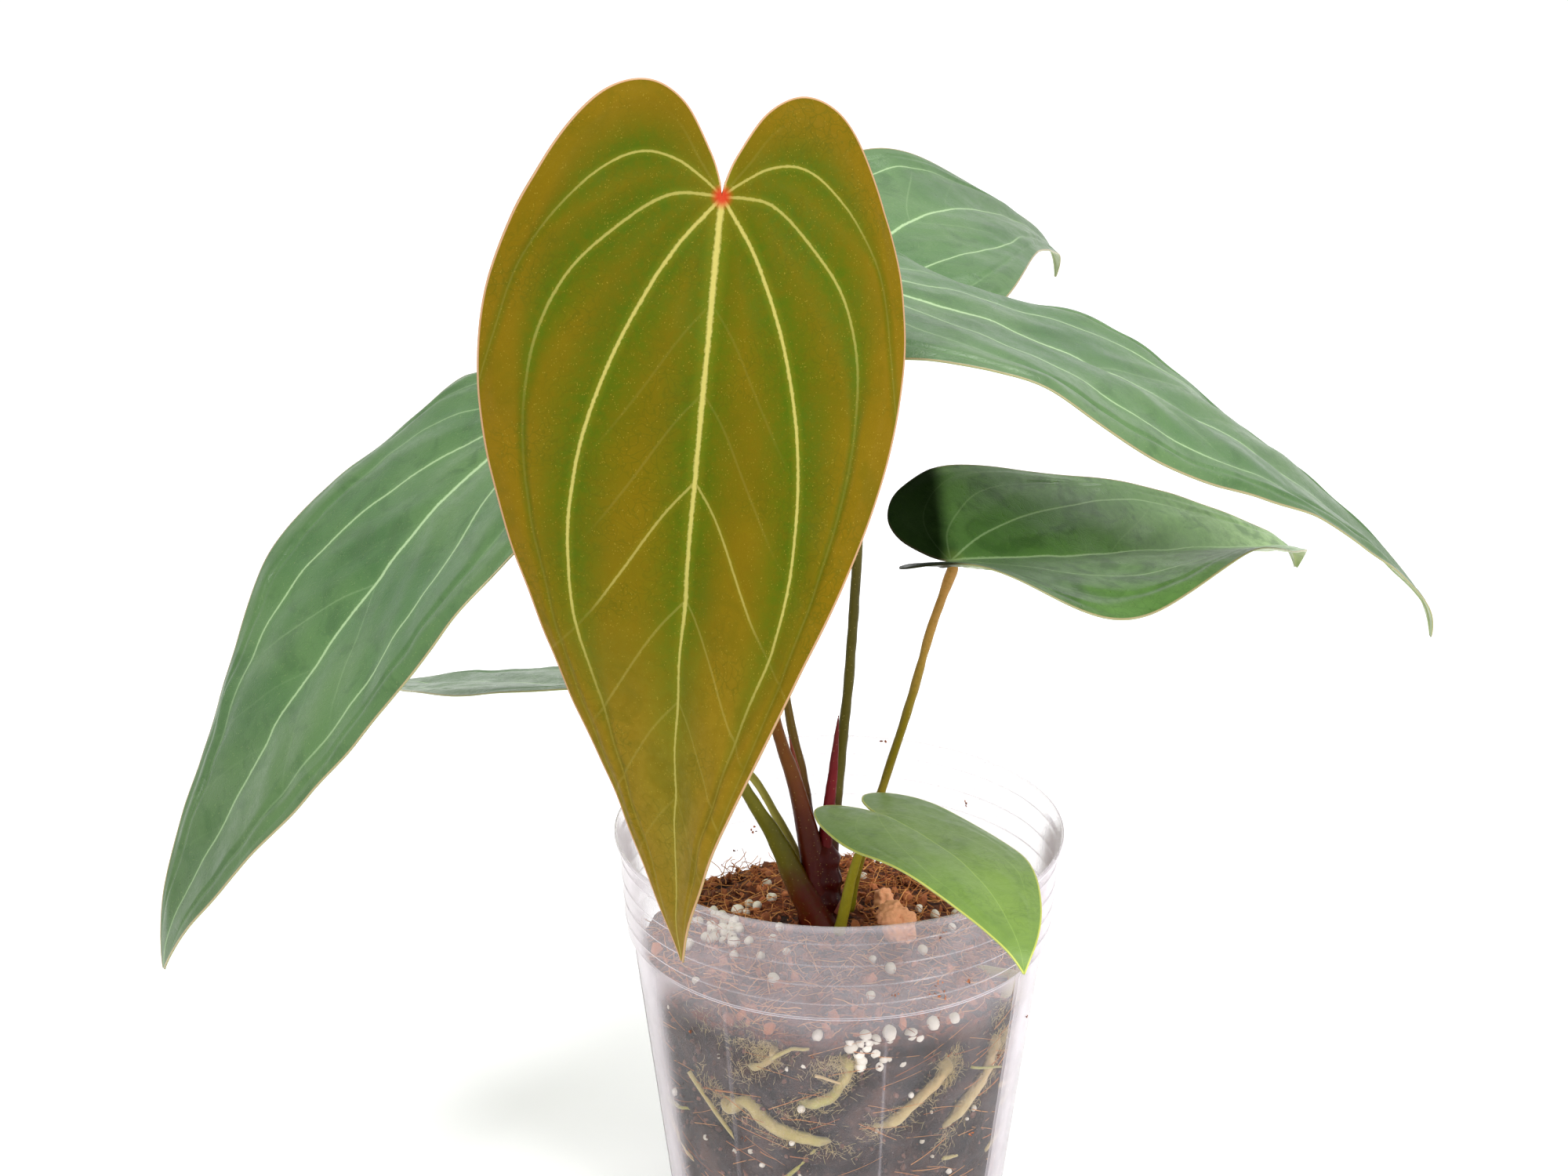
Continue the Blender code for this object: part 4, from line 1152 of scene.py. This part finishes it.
def coirMaterial():
    material, tree, shader = newMaterial("coirMix")
    place = objectPlace(tree)
    wet = attributeOut(tree, "wet")
    clods = noiseOut(tree, place, 160, 6, 0.7, 0.6)
    grit = noiseOut(tree, place, 900, 5, 0.75)
    colour = mixOut(tree, rangeOut(tree, clods, 0.36, 0.62, 0, 1), srgb(46, 18, 8), srgb(130, 64, 32))
    colour = mixOut(tree, rangeOut(tree, grit, 0.5, 0.72, 0, 0.8), colour, srgb(176, 100, 52))
    bark = cellOut(tree, place, 210, "F1", "Color")
    split = addNode(tree, "ShaderNodeSeparateColor")
    tree.links.new(bark, split.inputs[0])
    colour = mixOut(tree, rangeOut(tree, split.outputs[0], 0.82, 0.9, 0, 0.7), colour, srgb(120, 78, 58))
    colour = mixOut(tree, rangeOut(tree, split.outputs[1], 0.86, 0.92, 0, 0.8), colour, srgb(24, 16, 14))
    damp = mixOut(tree, rangeOut(tree, clods, 0.36, 0.66, 0, 1), srgb(22, 12, 14), srgb(66, 44, 38))
    damp = mixOut(tree, rangeOut(tree, grit, 0.56, 0.72, 0, 0.7), damp, srgb(132, 104, 88))
    paleSpecks = rangeOut(tree, cellOut(tree, place, 700), 0.05, 0.13, 0.6, 0)
    damp = mixOut(tree, paleSpecks, damp, srgb(176, 156, 136))
    brownPatches = rangeOut(tree, noiseOut(tree, place, 60, 3), 0.52, 0.66, 0, 0.55)
    damp = mixOut(tree, brownPatches, damp, srgb(106, 62, 36))
    colour = mixOut(tree, wet, colour, damp)
    tree.links.new(colour, shader.inputs["Base Color"])
    shader.inputs["Roughness"].default_value = 0.88
    height = mathOut(tree, "MULTIPLY_ADD", grit, 0.7, clods)
    bumpInto(tree, shader, height, 0.9, 0.0015)
    return material


def crumbMaterial(name, dark, light, stain, roughness=0.85):
    # each crumb has its own tint
    material, tree, shader = newMaterial(name)
    place = objectPlace(tree)
    tint = attributeOut(tree, "tint")
    grain = noiseOut(tree, place, 1500, 4, 0.7)
    colour = mixOut(tree, tint, dark, light)
    colour = mixOut(tree, rangeOut(tree, grain, 0.5, 0.75, 0, 0.5), colour, stain)
    tree.links.new(colour, shader.inputs["Base Color"])
    shader.inputs["Roughness"].default_value = roughness
    bumpInto(tree, shader, grain, 0.6, 0.0003)
    return material


def templateBall(subdivisions):
    deselectAll()
    bpy.ops.mesh.primitive_ico_sphere_add(subdivisions=subdivisions, radius=1, location=(0, 0, 0))
    ball = bpy.context.object
    places = vertexPlaces(ball)
    faces = np.array([tuple(polygon.vertices) for polygon in ball.data.polygons])
    bpy.data.objects.remove(ball)
    return places, faces


def spin(places, turns):
    for axis, turn in enumerate(turns):
        first, second = [(1, 2), (2, 0), (0, 1)][axis]
        moved = places.copy()
        moved[:, first] = places[:, first] * math.cos(turn) - places[:, second] * math.sin(turn)
        moved[:, second] = places[:, first] * math.sin(turn) + places[:, second] * math.cos(turn)
        places = moved
    return places


def meshFrom(name, placeList, faceList, tints):
    mesh = bpy.data.meshes.new(name)
    counts = np.cumsum([0] + [len(p) for p in placeList[:-1]])
    faces = [tuple(int(v) for v in face + start) for start, group in zip(counts, faceList) for face in group]
    mesh.from_pydata(np.vstack(placeList) * mm, [], faces)
    obj = bpy.data.objects.new(name, mesh)
    bpy.context.collection.objects.link(obj)
    setFloatAttribute(obj, "tint", np.concatenate([np.full(len(p), t) for p, t in zip(placeList, tints)]))
    return obj


def scatterLumps(name, spots, subdivisions, lumpiness, smooth):
    # spots: (place, size along three axes, tint)
    ball, faces = templateBall(subdivisions)
    placeList, tints = [], []
    for place, size, tint in spots:
        shape = ball * np.array([1 + lumpiness * rng.uniform(-1, 1) for _ in range(len(ball))])[:, None]
        shape = spin(shape * np.array(size), [rng.uniform(0, fullTurn) for _ in range(3)])
        placeList.append(shape + np.array(place))
        tints.append(tint)
    lumps = meshFrom(name, placeList, [faces] * len(placeList), tints)
    if smooth:
        smoothShade(lumps)
    return lumps


def scatterFibres(name, fibres, corners=3):
    # fibres: (course in mm, radius, tint); each is a thin strand
    placeList, faceList, tints = [], [], []
    for course, radius, tint in fibres:
        course = np.array(course)
        ahead = np.gradient(course, axis=0)
        ahead /= np.linalg.norm(ahead, axis=1, keepdims=True) + 1e-9
        side = np.cross(ahead, (0.3, 0.2, 0.93))
        side /= np.linalg.norm(side, axis=1, keepdims=True) + 1e-9
        up = np.cross(side, ahead)
        rings = []
        for index, place in enumerate(course):
            taper = radius * (1 - 0.5 * index / len(course))
            for corner in range(corners):
                turn = corner * 2 * math.pi / corners
                rings.append(place + taper * (side[index] * math.cos(turn) + up[index] * math.sin(turn)))
        faces = [(0, corner + 1, corner) for corner in range(1, corners - 1)]
        for ring in range(len(course) - 1):
            for corner in range(corners):
                low, following = ring * corners + corner, ring * corners + (corner + 1) % corners
                faces += [(low, following, following + corners), (low, following + corners, low + corners)]
        last = (len(course) - 1) * corners
        faces += [(last, last + corner, last + corner + 1) for corner in range(1, corners - 1)]
        placeList.append(np.array(rings))
        faceList.append(np.array(faces))
        tints.append(tint)
    return meshFrom(name, placeList, faceList, tints)


def wanderingCourse(start, heading, length, steps, bend, rise=0.0):
    course = [np.array(start, dtype=float)]
    tilt = rise
    for _ in range(steps):
        heading += rng.uniform(-bend, bend)
        tilt += rng.uniform(-bend, bend) * 0.5
        tilt = max(-0.6, min(0.9, tilt))
        level = math.cos(tilt)
        leg = np.array([math.cos(heading) * level, math.sin(heading) * level, math.sin(tilt)])
        course.append(course[-1] + leg * length / steps)
    return course


def onTop(lowest=0.0, highest=1.0):
    # a random place on the heap, as shares of its radius
    away = (potInside(mixDesign["edgeHeight"]) - 2.0) * math.sqrt(rng.uniform(lowest ** 2, highest ** 2))
    angle = rng.uniform(0, 2 * math.pi)
    x, y = away * math.cos(angle), away * math.sin(angle)
    return x, y, float(mixTop(x, y))


def onWall(lowest, highest, depth=0.0):
    # a random place against the wall: bearing 0 faces the front
    height = rng.uniform(lowest, highest)
    bearing = rng.uniform(0, 2 * math.pi)
    reach = float(potInside(height)) - mixGap - depth
    return atBearing(bearing, reach, height)


mix = makeMix()
mix.data.materials.append(coirMaterial())

topCrumbs = []
for _ in range(mixDesign["crumbs"]):
    x, y, z = onTop()
    size = rng.choice([0.5, 0.7, 0.9, 1.2, 1.6, 2.2]) * rng.uniform(0.7, 1.2)
    topCrumbs.append(((x, y, z + size * 0.1), (size, size * 0.7, size * 0.5), rng.random() ** 1.5))
crumbs = scatterLumps("mix_crumbs", topCrumbs, 1, 0.25, False)

wallCrumbs = []
for _ in range(mixDesign["wallCrumbs"]):
    size = rng.choice([0.5, 0.6, 0.8, 1.0, 1.4]) * rng.uniform(0.7, 1.2)
    spot = onWall(3, mixDesign["edgeHeight"], size * 0.9 + 0.1)
    if awayFromRoots(spot)[0] < 3.2:
        continue
    wallCrumbs.append((spot, (size, size * 0.8, size * 0.7), rng.random() ** 1.6))
wallBits = scatterLumps("mix_wall_crumbs", wallCrumbs, 1, 0.2, False)

fibres = []
for _ in range(mixDesign["fibres"]):
    x, y, z = onTop()
    course = wanderingCourse((x, y, z + rng.uniform(0, 1.2)), rng.uniform(0, fullTurn),
                             rng.uniform(4, 13), 7, 0.5, rng.uniform(-0.1, 0.35))
    limit = potInside(mixDesign["edgeHeight"]) - 0.9
    for point in course:
        point[:2] *= min(1, limit / max(np.hypot(*point[:2]), 1e-6))
    fibres.append((course, rng.uniform(0.09, 0.20), rng.random()))
for _ in range(mixDesign["wallFibres"]):
    x, y, z = onWall(6, mixDesign["edgeHeight"] - 2, 0.5)
    bearing = math.atan2(x, -y)
    slope, bend, reach = rng.uniform(-1.2, 1.2), rng.uniform(-0.03, 0.03), rng.uniform(5, 16)
    course = []
    for step in range(9):
        turned = bearing + step / 8 * reach / wallRadius
        height = min(max(z + slope * (step / 8) * reach * 0.5 + bend * step ** 2, 3), mixDesign["edgeHeight"])
        out = float(potInside(height)) - mixGap - 0.35
        course.append(atBearing(turned, out, height))
    fibres.append((course, rng.uniform(0.08, 0.17), rng.random() ** 0.7))
strands = scatterFibres("mix_fibres", fibres)

# crumbs stuck to the front of the wall outside and to its back inside: bearing from the front, height, size
dirtPlaces = [(14, 89, 0.7), (25, 90.5, 0.8), (26, 86, 0.9), (24, 87.5, 0.5), (35, 88.5, 0.7), (27, 79, 0.6),
              (25, 103, 0.5), (26, 105, 0.4), (31, 66, 0.5), (52, 58, 0.6), (-46, 68, 0.8), (-30, 40, 0.5),
              (12, 60, 0.5), (44, 37, 0.6), (70, 62, 0.6), (-8, 70, 0.4), (166, 109.6, 1.0), (140, 96, 0.7),
              (205, 84, 0.9), (212, 80, 0.7)]
dirt = []
for bearingDeg, height, size in dirtPlaces:
    bearing = math.radians(bearingDeg)
    for _ in range(4):
        turned = bearing + rng.gauss(0, 0.9 * size) / 58
        level = min(height + rng.gauss(0, 0.7 * size), 109.5)
        out = float(potOutside(level)) + 0.12 if bearingDeg < 90 else float(potInside(level)) - 0.2
        bit = size * rng.uniform(0.3, 0.6)
        dirt.append((atBearing(turned, out, level), (bit, bit * 0.7, bit * 0.5), rng.random()))
wallDirt = scatterLumps("mix_wall_dirt", dirt, 1, 0.25, False)

coirBits = crumbMaterial("coirCrumbs", srgb(74, 30, 14), srgb(204, 124, 78), srgb(140, 74, 40))
coirStrands = crumbMaterial("coirStrands", srgb(150, 72, 28), srgb(226, 160, 92), srgb(176, 100, 48))
wetBits = crumbMaterial("wetCrumbs", srgb(44, 28, 26), srgb(132, 92, 76), srgb(92, 60, 50))
for piece, finish in ((crumbs, coirBits), (wallBits, wetBits), (strands, coirStrands), (wallDirt, coirBits)):
    piece.data.materials.append(finish)
for piece in (mix, crumbs, wallBits, strands, wallDirt):
    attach(piece, "root")
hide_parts("substrate")
print("mix made")


# perlite and pumice

perliteFinish = crumbMaterial("perliteGrain", srgb(196, 186, 168), srgb(240, 234, 222),
                              srgb(206, 190, 164), 0.8)
for index in range(8):
    node = f"perlite_{index + 1}"
    centre, size = boxInMm(node)
    centre[2] -= 0.7
    grain = scatterLumps(node + "_grain", [(centre, size, rng.uniform(0.3, 1.0))], 3, 0.03, True)
    ruffleSurface(grain, 0.3, 1.7, index * 2.0)
    grain.data.materials.append(perliteFinish)
    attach(grain, "root")
    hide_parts(node)

loose = []
for index in range(mixDesign["topPerlite"]):
    x, y, z = onTop(0.3, 0.98)
    if index % 2:
        # half of them lie in a drift at the left of the crown
        x, y = rng.gauss(-31, 7), rng.gauss(-3, 9)
        z = float(mixTop(x, y))
    size = rng.uniform(1.0, 1.9)
    loose.append(((x, y, z + size * 0.45), (size, size * 0.92, size * 0.88), rng.uniform(0.3, 1.0)))
# a bank of grains lies against the front wall just under the surface
for _ in range(26):
    bearing = math.radians(rng.gauss(9, 9))
    size = rng.uniform(1.2, 2.2)
    height = rng.uniform(65, 75.5)
    out = float(potInside(height)) - size - 0.35
    loose.append((atBearing(bearing, out, height), (size, size * 0.9, size * 0.85), rng.uniform(0.4, 1)))
for _ in range(mixDesign["wallPerlite"]):
    size = rng.uniform(0.5, 1.3)
    loose.append((onWall(3, 73, size + 0.35), (size, size * 0.9, size * 0.85), rng.uniform(0.0, 0.8)))
looseGrains = scatterLumps("perlite_loose", loose, 2, 0.07, True)
looseGrains.data.materials.append(perliteFinish)
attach(looseGrains, "root")

pumiceFinish = crumbMaterial("pumiceSkin", srgb(214, 140, 98), srgb(238, 176, 134), srgb(164, 84, 48), 0.92)
for node in ("pumice_large", "pumice_small"):
    centre, size = boxInMm(node)
    if node == "pumice_large":
        centre[2] += 0.6
        size[0] *= 1.15
    else:
        centre[0] -= 2.5
        centre[2] -= 1.2
    stone = scatterLumps(node + "_stone", [(centre, size, 0.6)], 5, 0.0, True)
    ruffleSurface(stone, 1.9, 4.0, 2.0)
    ruffleSurface(stone, 0.9, 1.2, 7.0)
    stone.data.materials.append(pumiceFinish)
    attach(stone, "root")
    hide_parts(node)
print("grains made")


# roots

def rootMaterial():
    material, tree, shader = newMaterial("rootSkin")
    place = objectPlace(tree)
    tint = attributeOut(tree, "tint")
    along = attributeOut(tree, "along")
    blotch = noiseOut(tree, place, 260, 4, 0.6)
    colour = mixOut(tree, tint, srgb(150, 146, 52), srgb(200, 170, 122))
    colour = mixOut(tree, rangeOut(tree, blotch, 0.4, 0.7, 0, 0.6), colour, srgb(196, 176, 124))
    colour = mixOut(tree, rangeOut(tree, along, 0.7, 1.0, 0, 0.4), colour, srgb(190, 190, 120))
    hair = noiseOut(tree, place, 2600, 4, 0.8)
    colour = mixOut(tree, rangeOut(tree, hair, 0.5, 0.75, 0, 0.4), colour, srgb(232, 222, 196))
    tree.links.new(colour, shader.inputs["Base Color"])
    shader.inputs["Roughness"].default_value = 0.7
    shader.inputs["Sheen Weight"].default_value = 0.3
    bumpInto(tree, shader, hair, 0.6, 0.0003)
    return material


rootFinish = rootMaterial()
for name, design in rootDesigns.items():
    path = rootPaths[name]
    share = np.linspace(0, 1, len(path))
    radii = design["radius"] * (1 - 0.4 * share) * (1 - 0.7 * smoothStep(0.85, 1.0, share))
    radii *= 1 + 0.14 * np.sin(share * 31 + design["radius"] * 5) * np.sin(share * 13)
    root = makeTube(name + "_skin", path, radii, 6)
    ruffleSurface(root, 0.45, 3.0, design["radius"])
    setFloatAttribute(root, "tint", np.full(len(root.data.vertices), design["tint"]))
    root.data.materials.append(rootFinish)
    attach(root, "root")
    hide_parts(name)

# thin side roots and the down of root hairs against the wall
rootlets = []
for _ in range(34):
    x, y, z = onWall(8, 70, 0.9)
    bearing, height = math.atan2(x, -y), z
    slope, curl, reach = rng.uniform(-0.9, 0.9), rng.uniform(-0.05, 0.05), rng.uniform(7, 22)
    thick = rng.uniform(0.35, 0.85)
    course = []
    for step in range(12):
        bearing += reach / 11 / wallRadius
        slope += curl + rng.uniform(-0.12, 0.12)
        height = min(max(height + slope * reach / 11, 4), 71)
        out = float(potInside(height)) - thick - 0.15 - 2.0 * smoothStep(8.0, 11.0, step)
        course.append(atBearing(bearing, out, height))
    rootlets.append((course, thick, rng.random()))
hairLength = 2.4
hairs = []
for path in rootPaths.values():
    for place in path[18:]:
        for _ in range(7):
            reach = float(potInside(place[2])) - mixGap
            bearing = math.atan2(place[0], -place[1]) + rng.gauss(0, 2.2) / wallRadius
            height = place[2] + rng.gauss(0, 2.2)
            out = reach - rng.uniform(0.1, 1.4)
            start = atBearing(bearing, out, height)
            away = rng.uniform(0, fullTurn)
            turned = bearing + hairLength * math.cos(away) / wallRadius
            tip = atBearing(turned, out, height + hairLength * math.sin(away))
            middle = [(a + b) / 2 + rng.uniform(-0.3, 0.3) for a, b in zip(start, tip)]
            hairs.append(((start, middle, tip), 0.055, rng.uniform(0.4, 1.0)))
fineRoots = scatterFibres("root_fine", rootlets, 6)
rootHairs = scatterFibres("root_hairs", hairs)
smoothShade(fineRoots)
for piece in (fineRoots, rootHairs):
    piece.data.materials.append(rootFinish)
    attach(piece, "root")
print("roots made")
